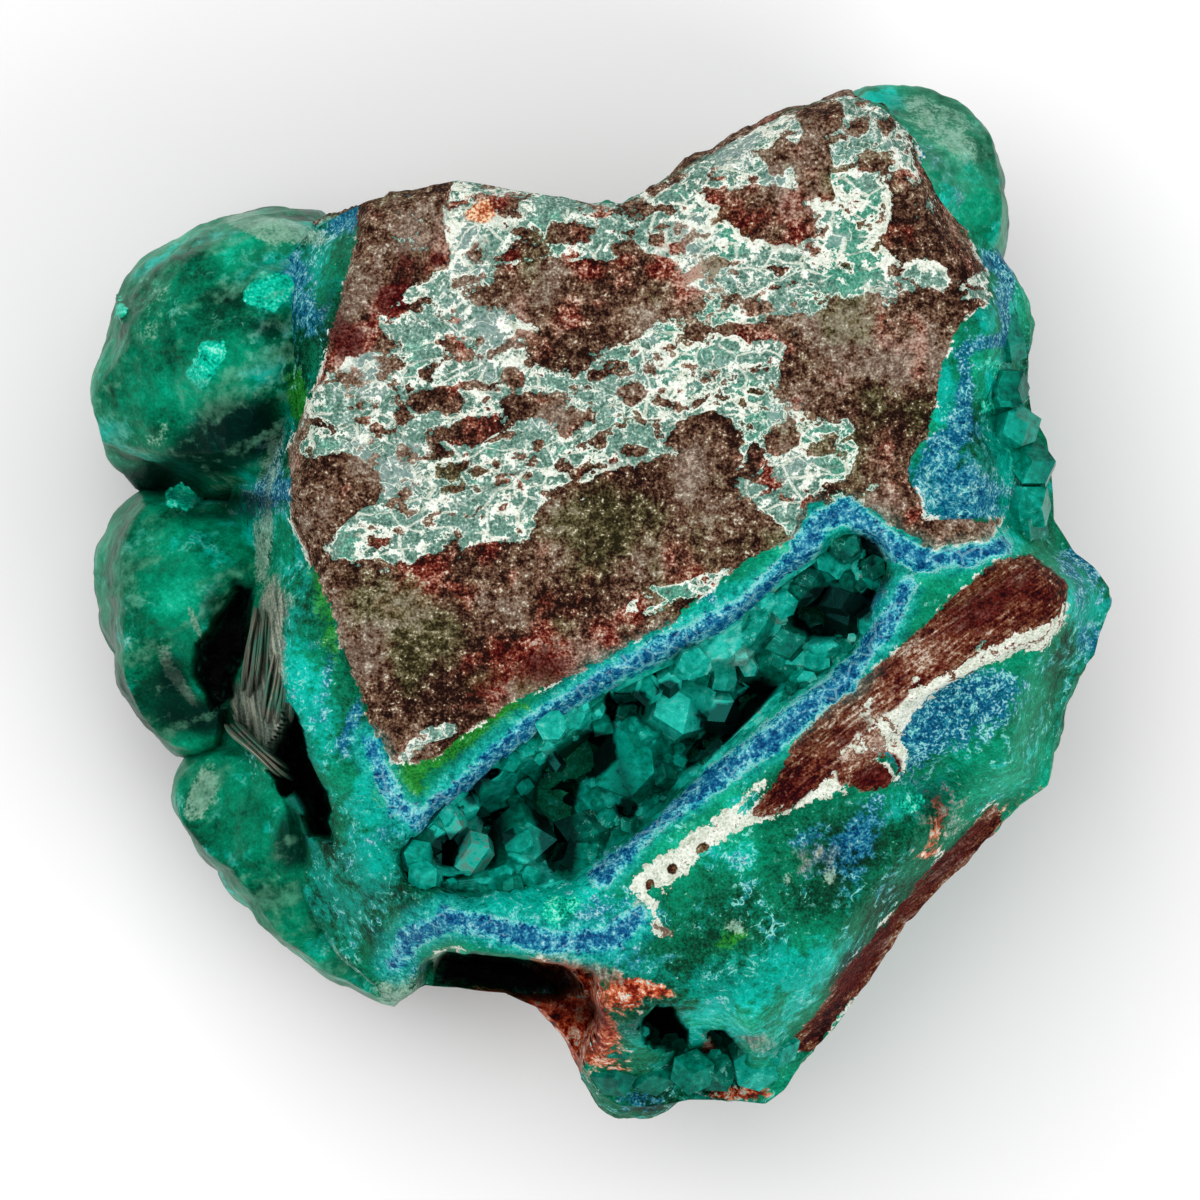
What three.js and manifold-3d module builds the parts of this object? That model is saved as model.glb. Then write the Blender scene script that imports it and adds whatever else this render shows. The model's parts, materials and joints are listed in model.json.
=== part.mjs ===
// Dioptase on matrix: a hand-sized lump of broken, iron-stained rock whose fragments are cemented by
// blue-green copper silicate. Green crystals line a diagonal hollow in its face, stand along its right edge and
// at its lower tip, and four big rounded green bodies have grown on its left side and its upper right corner.
// The lump lies on its flat back with the decorated face up. Millimetres, +Z up.
import * as THREE from 'three';
import { mergeVertices } from 'three/addons/utils/BufferGeometryUtils.js';
import Module from 'manifold-3d';

const wasm = await Module();
wasm.setup();

// Driving dimensions
const specimenWidth = 61; // across X, at the widest
const faceHeight = 29; // the rock plate above the resting face
const gap = 0.35; // between neighbouring pieces

// Outlines are places on the photograph, in its pixels, x to the right and y down.
const silhouetteLeft = 93;
const silhouetteRight = 1108;
const silhouetteTop = 93;
const silhouetteBottom = 1106;
const pixel = specimenWidth / (silhouetteRight - silhouetteLeft);
const middle = [(silhouetteLeft + silhouetteRight) / 2, (silhouetteTop + silhouetteBottom) / 2];

// The rock, anticlockwise from its right edge; where a green body covers it, the line is inside that body.
const rockOutline = [
  [1052, 520], [1050, 480], [1045, 440], [1030, 415], [1024, 380], [1028, 330], [1018, 290], [998, 262],
  [960, 218], [936, 176], [906, 136], [880, 112], [845, 99], [800, 113], [745, 143], [700, 166],
  [660, 187], [622, 207], [590, 207], [555, 200], [515, 194], [480, 187], [458, 184], [430, 190],
  [400, 197], [370, 204], [345, 216], [310, 235], [276, 280], [262, 340], [258, 400], [248, 450],
  [230, 500], [208, 560], [194, 610], [188, 660], [198, 710], [226, 750], [262, 790], [280, 830], [310, 900],
  [340, 950], [385, 990], [405, 993], [425, 985], [460, 988], [505, 993], [545, 1010], [562, 1030],
  [585, 1065], [600, 1092], [618, 1104], [645, 1106], [690, 1099], [730, 1099], [765, 1103], [785, 1088],
  [802, 1058], [830, 1030], [858, 992], [880, 960], [905, 920], [940, 885], [972, 852], [1000, 820],
  [1025, 797], [1046, 785], [1050, 750], [1060, 710], [1074, 675], [1092, 655], [1097, 635], [1108, 605],
  [1107, 588], [1093, 568], [1072, 552],
];
const rockCentre = [640, 570];

// How the face rolls off to the silhouette: [direction in degrees, drop in mm, width in mm].
const rollOff = [
  [7, 8, 6], [26, 7, 5], [41, 5, 3], [62, 2, 2], [76, 1.5, 1.5], [96, 1, 1], [115, 1, 1], [127, 1.5, 1.5],
  [135, 5, 4], [149, 8, 5.5], [168, 9, 5.5], [179, 15, 8], [192, 16, 8], [202, 14, 7], [209, 10, 5], [225, 9, 8],
  [239, 7, 7],
  [247, 3, 3], [258, 4, 4], [267, 11, 8], [280, 12, 8], [292, 9, 5], [307, 8, 4], [325, 7, 4], [352, 7, 4],
];

// The rock plates that stand a little proud of the rinds round them.
const facePlate = [
  [365, 205], [360, 240], [345, 300], [320, 380], [290, 450], [295, 520], [335, 610], [352, 670], [385, 745],
  [405, 785], [480, 735], [560, 680], [660, 630], [720, 580], [795, 535], [810, 505], [865, 508], [910, 545],
  [985, 540], [1000, 520], [925, 515], [905, 470], [945, 390], [968, 330], [975, 262], [930, 190], [880, 100],
  [800, 113], [700, 166], [600, 208], [460, 185],
];
const lowerPlate = [
  [748, 828], [790, 770], [830, 725], [880, 672], [940, 612], [1030, 556], [1066, 585], [1055, 625],
  [960, 678], [905, 705], [880, 750], [850, 790], [800, 812],
];
const plateStep = 0.7;

// Swellings and dents of the face: [x, y, radius in pixels, height in mm].
const swellings = [
  [760, 925, 130, 1.3], [1005, 715, 75, 1.3], [935, 795, 62, -2.2], [955, 465, 60, 0.9], [345, 640, 45, 0.6],
  [470, 905, 85, 1.0], [345, 875, 60, 1.6], [700, 1050, 60, -2.6], [868, 545, 60, 0.8], [300, 560, 50, -1.0],
];

// Broken faces under the silhouette: [direction, height where it starts in mm, lean under in degrees].
const brokenFaces = [
  [20, 14, 36], [62, 12, 30], [100, 15, 38], [140, 13, 32], [180, 9, 34], [214, 10, 40], [262, 7, 46],
  [300, 13, 38], [335, 15, 40],
];

// Hollows cut straight down: an outline, the height of the floor, and what it is.
const ledge = {
  floor: 15,
  outline: [[400, 1040], [428, 962], [446, 950], [482, 950], [560, 962], [592, 975], [600, 1010], [566, 1100]],
};
const pocketUnderRim = {
  floor: 8,
  outline: [[434, 984], [443, 953], [482, 953], [525, 958], [560, 966], [582, 990], [560, 1002], [500, 988]],
};
const tipHole = {
  floor: 12,
  outline: [[643, 1044], [643, 1022], [650, 1004], [670, 1004], [685, 1038], [678, 1054]],
};
const tipGroove = { floor: 13, outline: [[699, 1033], [722, 1035], [741, 1060], [733, 1090], [722, 1064]] };
const upperCleft = {
  floor: 10,
  outline: [[216, 710], [193, 675], [196, 645], [223, 612], [234, 590], [252, 592], [250, 645], [238, 704]],
};
const lowerCleft = {
  floor: 9,
  outline: [[291, 706], [283, 738], [272, 768], [284, 802], [298, 792], [316, 834], [336, 838], [328, 796], [306, 742]],
};

// The diagonal hollow: stations along it, [x, y, half width in pixels, depth in mm].
const hollowPath = [
  [430, 858, 20, 2.5], [472, 846, 42, 5], [540, 816, 62, 6.5], [608, 768, 62, 6.5], [680, 716, 48, 6],
  [750, 668, 38, 5.5], [814, 618, 44, 6], [852, 566, 24, 3],
];
const crustThickness = 1.1;
const crustTop = 26.6;

// The rounded green bodies: plan outline, plan centre, height of the widest level, rise above and depth below it.
const lobes = [
  {
    name: 'lobe_upper_left', centre: [215, 355], level: 14, rise: 11, depth: 10,
    outline: [
      [352, 320], [350, 262], [316, 216], [250, 214], [215, 228], [180, 245], [150, 265], [125, 300],
      [112, 340], [97, 375], [93, 400], [100, 430], [107, 455], [125, 472], [142, 487], [200, 500],
      [290, 496], [330, 440], [350, 380],
    ],
  },
  {
    name: 'lobe_middle_left', centre: [172, 612], level: 12, rise: 9.5, depth: 8.5,
    outline: [
      [290, 572], [296, 520], [200, 502], [144, 494], [125, 515], [108, 545], [103, 575], [107, 610],
      [118, 650], [130, 690], [145, 716], [175, 745], [214, 744], [224, 712], [232, 680], [236, 640],
      [254, 592],
    ],
  },
  {
    name: 'lobe_lower_left', centre: [285, 860], level: 11, rise: 9, depth: 8,
    outline: [
      [400, 880], [350, 838], [306, 790], [268, 752], [244, 742], [216, 750], [195, 765], [183, 790],
      [185, 815], [200, 840], [225, 870], [250, 905], [270, 930], [300, 955], [345, 980], [390, 1002],
      [412, 985], [416, 930],
    ],
  },
  {
    name: 'lobe_upper_right', centre: [942, 180], level: 17, rise: 10.5, depth: 10,
    outline: [
      [1000, 225], [998, 190], [990, 155], [970, 125], [940, 105], [900, 94], [868, 94], [850, 104],
      [868, 124], [880, 160], [890, 205], [915, 250], [955, 272], [988, 262],
    ],
  },
];

// Crystals: [x, y, height of the foot in mm, lean towards, lean in degrees, radius in mm, length in mm].
const hollowCrystals = [
  [470, 846, 21.8, 150, 20, 1.1, 3.0], [512, 866, 20.8, 70, 34, 2.0, 5.2], [520, 812, 20.6, 310, 30, 1.2, 3.4],
  [558, 870, 20.4, 20, 30, 1.8, 4.8], [566, 776, 20.6, 300, 40, 1.3, 3.8], [604, 830, 20.0, 200, 30, 1.8, 4.4],
  [606, 738, 20.8, 330, 34, 1.3, 3.6], [640, 776, 20.2, 140, 18, 2.1, 5.4], [662, 722, 20.6, 40, 24, 2.0, 5.4],
  [708, 694, 21.0, 300, 30, 1.3, 3.8], [716, 726, 21.2, 130, 40, 1.4, 3.6], [748, 672, 21.2, 20, 50, 1.5, 4.2],
  [786, 632, 21.4, 300, 40, 1.2, 3.6], [800, 662, 21.2, 120, 34, 1.5, 4.2], [844, 634, 21.6, 80, 30, 1.6, 4.4],
  [856, 580, 21.8, 240, 26, 1.5, 4.6],
];
const edgeCrystals = [
  [992, 412, 22, 305, 62, 1.4, 6], [1002, 470, 21.5, 290, 58, 1.5, 5.4], [984, 440, 21.5, 20, 30, 1.3, 5.2],
  [988, 500, 21, 350, 35, 1.4, 5.4], [992, 300, 22.5, 285, 60, 1.2, 4.6], [980, 356, 22, 300, 50, 1.2, 5],
  [976, 384, 21.5, 350, 25, 1.2, 5.6],
];
const tipCrystals = [
  [620, 1058, 14.5, 250, 12, 1.4, 5.8], [652, 1060, 14, 270, 8, 1.5, 5.8], [690, 1058, 14.5, 280, 8, 1.4, 6.2],
  [718, 1060, 14.5, 260, 8, 1.3, 5.6], [746, 1052, 14.5, 300, 12, 1.4, 6.2], [766, 1034, 15.5, 320, 12, 1.2, 6],
  [632, 1034, 16, 200, 8, 1.2, 7],
];

// The grey-green blades that stand in the left cleft: two ends, thickness in mm, foot and top heights in mm.
const blades = [
  { name: 'blade_upper', from: [266, 600], to: [256, 704], thickness: 1.2, foot: 12, top: 25.5 },
  { name: 'blade_inner', from: [290, 630], to: [277, 730], thickness: 1.1, foot: 12, top: 27.2 },
  { name: 'blade_lower', from: [224, 718], to: [298, 784], thickness: 1.1, foot: 10, top: 23 },
];

const smoothstep = THREE.MathUtils.smoothstep;
const lerp = THREE.MathUtils.lerp;

// A photograph pixel as a place in millimetres, measured from the silhouette's middle.
function place([x, y]) {
  return [(x - middle[0]) * pixel, (middle[1] - y) * pixel];
}

// A repeatable number from 0 to 1 for a cell of a three-way grid.
function cellValue(i, j, k) {
  let h = Math.imul(i, 374761393) ^ Math.imul(j, 668265263) ^ Math.imul(k, 1440662683);
  h = Math.imul(h ^ (h >>> 13), 1274126177);
  return ((h ^ (h >>> 16)) >>> 0) / 4294967296;
}

// Smooth noise from -1 to 1: cell values blended over the eight corners round a point.
function noise(x, y, z) {
  const [i, j, k] = [Math.floor(x), Math.floor(y), Math.floor(z)];
  const [u, v, w] = [x - i, y - j, z - k].map((t) => t * t * (3 - 2 * t));
  const row = (b, c) => lerp(cellValue(i, j + b, k + c), cellValue(i + 1, j + b, k + c), u);
  return 2 * lerp(lerp(row(0, 0), row(1, 0), v), lerp(row(0, 1), row(1, 1), v), w) - 1;
}

// Noise with steps in it, for broken ledges: wide flats joined by short rises.
function ledges(x, y, z) {
  const level = noise(x, y, z) * 2.5;
  const flat = Math.floor(level);
  return (flat + smoothstep(level - flat, 0.35, 0.65)) / 2.5;
}

// The value at a direction, from rows that start with a direction in degrees and go round once.
function aroundValue(rows, column, degrees) {
  const turn = (degrees + 360) % 360;
  const after = rows.findIndex((row) => row[0] > turn);
  const high = after < 0 ? 0 : after;
  const low = (high - 1 + rows.length) % rows.length;
  const span = (rows[high][0] - rows[low][0] + 360) % 360;
  return lerp(rows[low][column], rows[high][column], ((turn - rows[low][0] + 360) % 360) / span);
}

// An outline as [direction, radius] rows about its centre, in degrees and millimetres.
function polar(outline, centre) {
  const [cx, cy] = place(centre);
  const rows = outline.map((point) => {
    const [x, y] = place(point);
    const direction = (THREE.MathUtils.radToDeg(Math.atan2(y - cy, x - cx)) + 360) % 360;
    return [direction, Math.hypot(x - cx, y - cy)];
  });
  return rows.sort((a, b) => a[0] - b[0]);
}

// Whether a place is inside an outline, and how far it is from the outline: positive inside.
function depthInside(x, y, outline) {
  let nearest = Infinity;
  let inside = false;
  outline.forEach((point, i) => {
    const [ax, ay] = place(point);
    const [bx, by] = place(outline[(i + 1) % outline.length]);
    const [dx, dy] = [bx - ax, by - ay];
    const t = THREE.MathUtils.clamp(((x - ax) * dx + (y - ay) * dy) / (dx * dx + dy * dy), 0, 1);
    nearest = Math.min(nearest, Math.hypot(x - ax - t * dx, y - ay - t * dy));
    if (ay > y !== by > y && x < ax + ((y - ay) / dy) * dx) inside = !inside;
  });
  return inside ? nearest : -nearest;
}

// A closed skin on a cube's grid, n squares across and m up its sides, each point put where shape says.
// shape gets the distance from the axis as a share of the half width, the direction and the height, -1 to 1.
function pillow(n, m, shape) {
  const cube = new THREE.BoxGeometry(2, 2, 2, n, n, m);
  cube.deleteAttribute('normal');
  cube.deleteAttribute('uv');
  const closed = mergeVertices(cube, 1e-4);
  const points = closed.attributes.position;
  for (let i = 0; i < points.count; i++) {
    const [x, y, z] = [points.getX(i), points.getY(i), points.getZ(i)];
    const share = Math.max(Math.abs(x), Math.abs(y));
    let angle = 0;
    if (share > 1e-9) {
      angle = Math.abs(x) >= Math.abs(y)
        ? (Math.PI / 4) * (y / x) + (x < 0 ? Math.PI : 0)
        : Math.PI / 2 - (Math.PI / 4) * (x / y) + (y < 0 ? Math.PI : 0);
    }
    points.setXYZ(i, ...shape(share, angle, z));
  }
  return closed;
}

function solid(geometry) {
  return new wasm.Manifold(new wasm.Mesh({
    numProp: 3,
    vertProperties: geometry.attributes.position.array,
    triVerts: new Uint32Array(geometry.index.array),
  }));
}

function closedSolid(geometry) {
  geometry.deleteAttribute('normal');
  geometry.deleteAttribute('uv');
  return solid(mergeVertices(geometry, 1e-4));
}

// The rock's face: a broken plane with plates a step higher, which rolls off to the silhouette.
function rockTop(x, y, direction, fromEdge) {
  const drop = aroundValue(rollOff, 1, direction);
  const width = aroundValue(rollOff, 2, direction);
  const onPlate = Math.max(depthInside(x, y, facePlate), depthInside(x, y, lowerPlate));
  const step = plateStep * smoothstep(onPlate, -0.4, 0.4);
  const lumps = 0.7 * noise(x * 0.3, y * 0.3, 3.5) * (1 - smoothstep(onPlate, -1.5, 0.5));
  const swelling = swellings.reduce((sum, [px, py, reach, height]) => {
    const [sx, sy] = place([px, py]);
    const share = Math.min(Math.hypot(x - sx, y - sy) / (reach * pixel), 1);
    return sum + height * (1 - share * share) ** 2;
  }, 0);
  const rolled = drop * (1 - smoothstep(fromEdge, 0, width)) ** 1.4;
  return faceHeight - plateStep + step + lumps + swelling - rolled;
}

// A point that stands proud of a broken face's plane is drawn level towards the rock until it is on it.
function behindBrokenFaces([x, y, z], rows, [cx, cy]) {
  const point = new THREE.Vector3(x, y, z);
  brokenFaces.forEach(([direction, height, under]) => {
    const [turn, slope] = [direction, under].map(THREE.MathUtils.degToRad);
    const outward = new THREE.Vector3(Math.cos(turn), Math.sin(turn), 0);
    const start = new THREE.Vector3(cx, cy, height).addScaledVector(outward, aroundValue(rows, 1, direction));
    const proud = outward.dot(point.clone().sub(start)) - Math.tan(slope) * (point.z - height);
    if (proud > 0) point.addScaledVector(outward, -proud);
  });
  return point.toArray();
}

// The rock, and a little more below its flat back, where it is cut off.
function rock() {
  const rows = polar(rockOutline, rockCentre);
  const [cx, cy] = place(rockCentre);
  const spare = 3;
  const geometry = pillow(22, 6, (share, angle, z) => {
    const direction = THREE.MathUtils.radToDeg(angle);
    const radius = aroundValue(rows, 1, direction);
    const along = (r) => [cx + r * Math.cos(angle), cy + r * Math.sin(angle)];
    if (z === 1) {
      const [x, y] = along(share * radius);
      return [x, y, rockTop(x, y, direction, (1 - share) * radius)];
    }
    const down = (1 - z) / 2;
    const top = rockTop(...along(radius), direction, 0);
    const height = lerp(top, -spare, down);
    const [x, y] = along(radius);
    const rough = Math.sin(Math.PI * down) * (2.4 * ledges(x * 0.11, y * 0.11, height * 0.15) - 1);
    const [ex, ey] = behindBrokenFaces([...along(radius + rough), height], rows, [cx, cy]);
    const inward = z === -1 ? share : 1;
    return [lerp(cx, ex, inward), lerp(cy, ey, inward), height];
  });
  const below = new THREE.BoxGeometry(200, 200, 2 * spare + 2);
  below.translate(0, 0, -spare - 1);
  return solid(geometry).subtract(closedSolid(below));
}

// A rounded body: its plan outline at the widest level, closed above and below by round caps with shallow lumps.
function lobe({ outline, centre, level, rise, depth }, grow) {
  const rows = polar(outline, centre);
  const [cx, cy] = place(centre);
  const capAngle = 0.95;
  const geometry = pillow(8, 4, (share, angle, z) => {
    const tilt = Math.abs(z) === 1 ? share * capAngle : lerp(capAngle, Math.PI / 2, 1 - Math.abs(z));
    const lean = z > 0 ? 1 : -1;
    const radius = aroundValue(rows, 1, THREE.MathUtils.radToDeg(angle)) + grow;
    const across = radius * Math.sin(tilt) ** 0.8;
    const [x, y] = [cx + across * Math.cos(angle), cy + across * Math.sin(angle)];
    const reach = (lean > 0 ? rise : depth) + grow;
    const lumps = 1.1 * noise(x * 0.22, y * 0.22, 7.5 + lean) * Math.cos(tilt);
    return [x, y, level + lean * (reach * Math.cos(tilt) ** 0.85 + lumps)];
  });
  return solid(geometry);
}

// A solid between an outline's floor and well above the face.
function shaft({ outline, floor }) {
  const shape = new THREE.Shape(outline.map((point) => new THREE.Vector2(...place(point))));
  const geometry = new THREE.ExtrudeGeometry(shape, { depth: 40 - floor, bevelEnabled: false });
  geometry.translate(0, 0, floor);
  return closedSolid(geometry);
}

// The diagonal hollow as a trough: a half round section carried along its path, open side up.
function trough(shrink, top) {
  const curve = new THREE.CatmullRomCurve3(hollowPath.map(([x, y]) => new THREE.Vector3(...place([x, y]), 0)));
  const stations = 12;
  const arcSteps = 5;
  const positions = [];
  const indices = [];
  const ringSize = arcSteps + 3;
  for (let i = 0; i <= stations; i++) {
    const t = i / stations;
    const at = t * (hollowPath.length - 1);
    const low = Math.min(Math.floor(at), hollowPath.length - 2);
    const half = lerp(hollowPath[low][2], hollowPath[low + 1][2], at - low) * pixel - shrink;
    const depth = lerp(hollowPath[low][3], hollowPath[low + 1][3], at - low) - shrink;
    const centre = curve.getPoint(t);
    const tangent = curve.getTangent(t);
    const endPull = (t - 0.5) * -2 * shrink;
    for (let j = -1; j <= arcSteps + 1; j++) {
      const arc = (THREE.MathUtils.clamp(j, 0, arcSteps) / arcSteps) * Math.PI;
      const across = half * Math.cos(arc);
      const height = j < 0 || j > arcSteps ? top : crustTop - 1 - depth * Math.sin(arc) ** 0.7;
      positions.push(centre.x - tangent.y * across + tangent.x * endPull,
        centre.y + tangent.x * across + tangent.y * endPull, height);
    }
  }
  for (let i = 0; i < stations; i++) {
    for (let j = 0; j < ringSize; j++) {
      const [a, b] = [i * ringSize + j, i * ringSize + ((j + 1) % ringSize)];
      indices.push(a, b + ringSize, b, a, a + ringSize, b + ringSize);
    }
  }
  for (let j = 1; j < ringSize - 1; j++) {
    indices.push(0, j, j + 1);
    const last = stations * ringSize;
    indices.push(last, last + j + 1, last + j);
  }
  const geometry = new THREE.BufferGeometry();
  geometry.setAttribute('position', new THREE.Float32BufferAttribute(positions, 3));
  geometry.setIndex(indices);
  const made = solid(geometry);
  if (made.volume() > 0) return made;
  geometry.setIndex(indices.toReversed());
  return solid(geometry);
}

// A dioptase crystal: a six-sided prism closed by three sloping diamond faces, on +Z from the origin.
function crystal(radius, length) {
  const slope = 0.72;
  const corner = (i, z) => [radius * Math.cos((i * Math.PI) / 3), radius * Math.sin((i * Math.PI) / 3), z];
  const positions = [0, 0, length, 0, 0, 0];
  for (let i = 0; i < 6; i++) positions.push(...corner(i, 0));
  for (let i = 0; i < 6; i++) positions.push(...corner(i, length - slope * radius * (i % 2 ? 0.5 : 1)));
  const indices = [];
  for (let i = 0; i < 6; i++) {
    const next = (i + 1) % 6;
    indices.push(1, 2 + next, 2 + i);
    indices.push(2 + i, 2 + next, 8 + next, 2 + i, 8 + next, 8 + i);
    indices.push(0, 8 + i, 8 + next);
  }
  const geometry = new THREE.BufferGeometry();
  geometry.setAttribute('position', new THREE.Float32BufferAttribute(positions, 3));
  geometry.setIndex(indices);
  return geometry;
}

// Crystals from their list, each stood on its foot and leant its own way, as one solid.
function cluster(list, grow) {
  const grown = list.map(([x, y, foot, towards, lean, radius, length], i) => {
    const geometry = crystal(radius + grow, length + 2 * grow);
    const direction = THREE.MathUtils.degToRad(towards);
    const axis = new THREE.Vector3(-Math.sin(direction), Math.cos(direction), 0);
    geometry.rotateZ(i * 0.7);
    geometry.translate(0, 0, -grow);
    geometry.applyMatrix4(new THREE.Matrix4().makeRotationAxis(axis, THREE.MathUtils.degToRad(lean)));
    const [px, py] = place([x, y]);
    geometry.translate(px, py, foot);
    return solid(geometry);
  });
  return wasm.Manifold.union(grown);
}

// A flat blade with a slanted top edge, stood on end between two places.
function blade({ from, to, thickness, foot, top }, grow) {
  const [a, b] = [place(from), place(to)];
  const length = Math.hypot(b[0] - a[0], b[1] - a[1]) + 2 * grow;
  const shape = new THREE.Shape([
    new THREE.Vector2(-length / 2, foot - grow),
    new THREE.Vector2(length / 2, foot - grow),
    new THREE.Vector2(length / 2, top - 3 + grow),
    new THREE.Vector2(length * 0.1, top + grow),
    new THREE.Vector2(-length / 2, top - 1.4 + grow),
  ]);
  const width = thickness + 2 * grow;
  const geometry = new THREE.ExtrudeGeometry(shape, { depth: width, bevelEnabled: false });
  geometry.translate(0, 0, -width / 2);
  geometry.rotateX(Math.PI / 2);
  geometry.rotateZ(Math.atan2(b[1] - a[1], b[0] - a[0]));
  geometry.translate((a[0] + b[0]) / 2, (a[1] + b[1]) / 2, 0);
  return closedSolid(geometry);
}

// The mesh of a solid, flat shaded, in its own finish.
function piece(name, made, color, roughness) {
  const { vertProperties, triVerts } = made.getMesh();
  const indexed = new THREE.BufferGeometry();
  indexed.setAttribute('position', new THREE.BufferAttribute(vertProperties, 3));
  indexed.setIndex(new THREE.BufferAttribute(triVerts, 1));
  const geometry = indexed.toNonIndexed();
  geometry.computeVertexNormals();
  const mesh = new THREE.Mesh(geometry, new THREE.MeshStandardMaterial({ color, roughness, metalness: 0 }));
  mesh.name = name;
  return mesh;
}

// The largest body of a solid: chips that a cut leaves loose are dropped.
function mainBody(made) {
  return made.decompose().sort((a, b) => b.volume() - a.volume())[0];
}

const join = (solids) => wasm.Manifold.union(solids);
const clefts = join([upperCleft, lowerCleft].map(shaft));
const hollows = join([clefts, ...[ledge, pocketUnderRim, tipHole, tipGroove].map(shaft)]);

// What stands in or on the rock takes its room from it, with a gap all round.
const roomForLobes = join(lobes.map((shape) => lobe(shape, gap)));
const roomForBlades = join(blades.map((shape) => blade(shape, gap)));
const roomForCrystals = join([cluster(edgeCrystals, gap), cluster(tipCrystals, gap)]);
const roomForCrust = trough(-gap, faceHeight + 4);

const matrix = rock()
  .subtract(hollows)
  .subtract(roomForCrust)
  .subtract(roomForLobes)
  .subtract(roomForBlades)
  .subtract(roomForCrystals);

const crust = trough(0, crustTop)
  .subtract(trough(crustThickness, faceHeight + 4))
  .add(cluster(hollowCrystals, 0).intersect(trough(crustThickness / 2, faceHeight + 4)));

const specimen = new THREE.Group();
specimen.add(piece('matrix', mainBody(matrix), 0x5a3a2c, 0.8));
lobes.forEach((shape, i) => {
  const earlier = lobes.slice(0, i).map((other) => lobe(other, gap));
  const cut = join([clefts, roomForBlades, roomForCrystals, ...earlier]);
  specimen.add(piece(shape.name, mainBody(lobe(shape, 0).subtract(cut)), 0x0f6b4c, 0.3));
});
specimen.add(piece('vug_crust', mainBody(crust), 0x12a07c, 0.2));
specimen.add(piece('edge_crystals', mainBody(cluster(edgeCrystals, 0)), 0x0f7f5c, 0.2));
specimen.add(piece('tip_crystals', mainBody(cluster(tipCrystals, 0)), 0x0f7f5c, 0.2));
blades.forEach((shape) => {
  specimen.add(piece(shape.name, blade(shape, 0), 0x6f7a6c, 0.4));
});

// The origin is the middle of the resting face.
const box = new THREE.Box3().setFromObject(specimen);
const centre = box.getCenter(new THREE.Vector3());
specimen.position.set(-centre.x, -centre.y, -box.min.z);

export default specimen;
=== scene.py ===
# %% [markdown]
# A mineral specimen: brown rock that was broken, and cemented again by blue-green copper minerals.
# Green dioptase crystals line a diagonal hollow in its face. The lump lies on its flat back, so the
# camera looks straight down on it, as the photograph does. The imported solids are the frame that
# everything here is built on: they say how big each piece is and where it lies.
# %% Load the frame
import json
import math

import bpy
import numpy as np
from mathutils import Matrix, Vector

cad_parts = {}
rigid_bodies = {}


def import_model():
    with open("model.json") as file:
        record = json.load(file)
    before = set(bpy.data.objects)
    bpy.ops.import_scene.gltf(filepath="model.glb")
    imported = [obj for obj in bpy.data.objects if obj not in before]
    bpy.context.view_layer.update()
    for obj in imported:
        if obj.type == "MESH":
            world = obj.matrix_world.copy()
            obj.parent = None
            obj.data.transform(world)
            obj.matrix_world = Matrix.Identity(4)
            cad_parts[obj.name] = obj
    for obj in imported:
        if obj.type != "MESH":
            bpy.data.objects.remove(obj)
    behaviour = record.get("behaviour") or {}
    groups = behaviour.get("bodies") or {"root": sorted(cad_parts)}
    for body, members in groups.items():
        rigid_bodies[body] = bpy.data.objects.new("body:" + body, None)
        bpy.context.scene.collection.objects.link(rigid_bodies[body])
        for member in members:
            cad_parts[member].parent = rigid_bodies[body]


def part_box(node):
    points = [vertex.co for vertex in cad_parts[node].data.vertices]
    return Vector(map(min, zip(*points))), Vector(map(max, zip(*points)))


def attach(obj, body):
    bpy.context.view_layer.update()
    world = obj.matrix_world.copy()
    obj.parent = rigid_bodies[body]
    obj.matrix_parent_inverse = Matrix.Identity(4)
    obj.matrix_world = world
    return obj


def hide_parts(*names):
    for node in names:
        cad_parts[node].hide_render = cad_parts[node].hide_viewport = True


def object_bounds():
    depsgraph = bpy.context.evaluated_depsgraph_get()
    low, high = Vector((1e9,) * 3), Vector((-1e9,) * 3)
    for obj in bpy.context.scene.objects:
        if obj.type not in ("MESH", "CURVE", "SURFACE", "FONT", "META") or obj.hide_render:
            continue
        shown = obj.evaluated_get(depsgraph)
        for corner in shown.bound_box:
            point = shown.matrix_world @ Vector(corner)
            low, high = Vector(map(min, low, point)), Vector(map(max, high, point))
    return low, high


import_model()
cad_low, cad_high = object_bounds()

mm = 0.001
print("the solids span", [round((h - l) / mm, 1) for l, h in zip(cad_low, cad_high)], "mm")

# %% [markdown]
# Places are read off the photograph, in its own pixels, and turned into millimetres here. The
# lump is 61 mm wide, and its outline spans 1015 pixels. One blade stands at a place that is known
# in both, which says how far the solids were moved to put their origin in the middle.
# %% Photograph places to millimetres
specimen_width = 61.0
outline_left, outline_right, outline_top, outline_bottom = 93, 1108, 93, 1106
pixel = specimen_width / (outline_right - outline_left)
photo_middle = np.array([(outline_left + outline_right) / 2, (outline_top + outline_bottom) / 2])
upper_blade_ends = np.array([[266, 600], [256, 704]])

blade_low, blade_high = (np.array(corner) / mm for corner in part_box("blade_upper"))
blade_offset = (upper_blade_ends.mean(axis=0) - photo_middle) * [pixel, -pixel]
shift = (blade_low + blade_high)[:2] / 2 - blade_offset


def place(x, y):
    """Millimetres for a photograph place: pixels from the middle, times the size of one, y up."""
    return (x - photo_middle[0]) * pixel + shift[0], (photo_middle[1] - y) * pixel + shift[1]


def photo_place(x, y):
    """The photograph place for millimetres: place() turned round."""
    return (x - shift[0]) / pixel + photo_middle[0], photo_middle[1] - (y - shift[1]) / pixel


print("one pixel is", round(pixel, 4), "mm, and the solids were moved by", shift.round(3))

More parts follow.
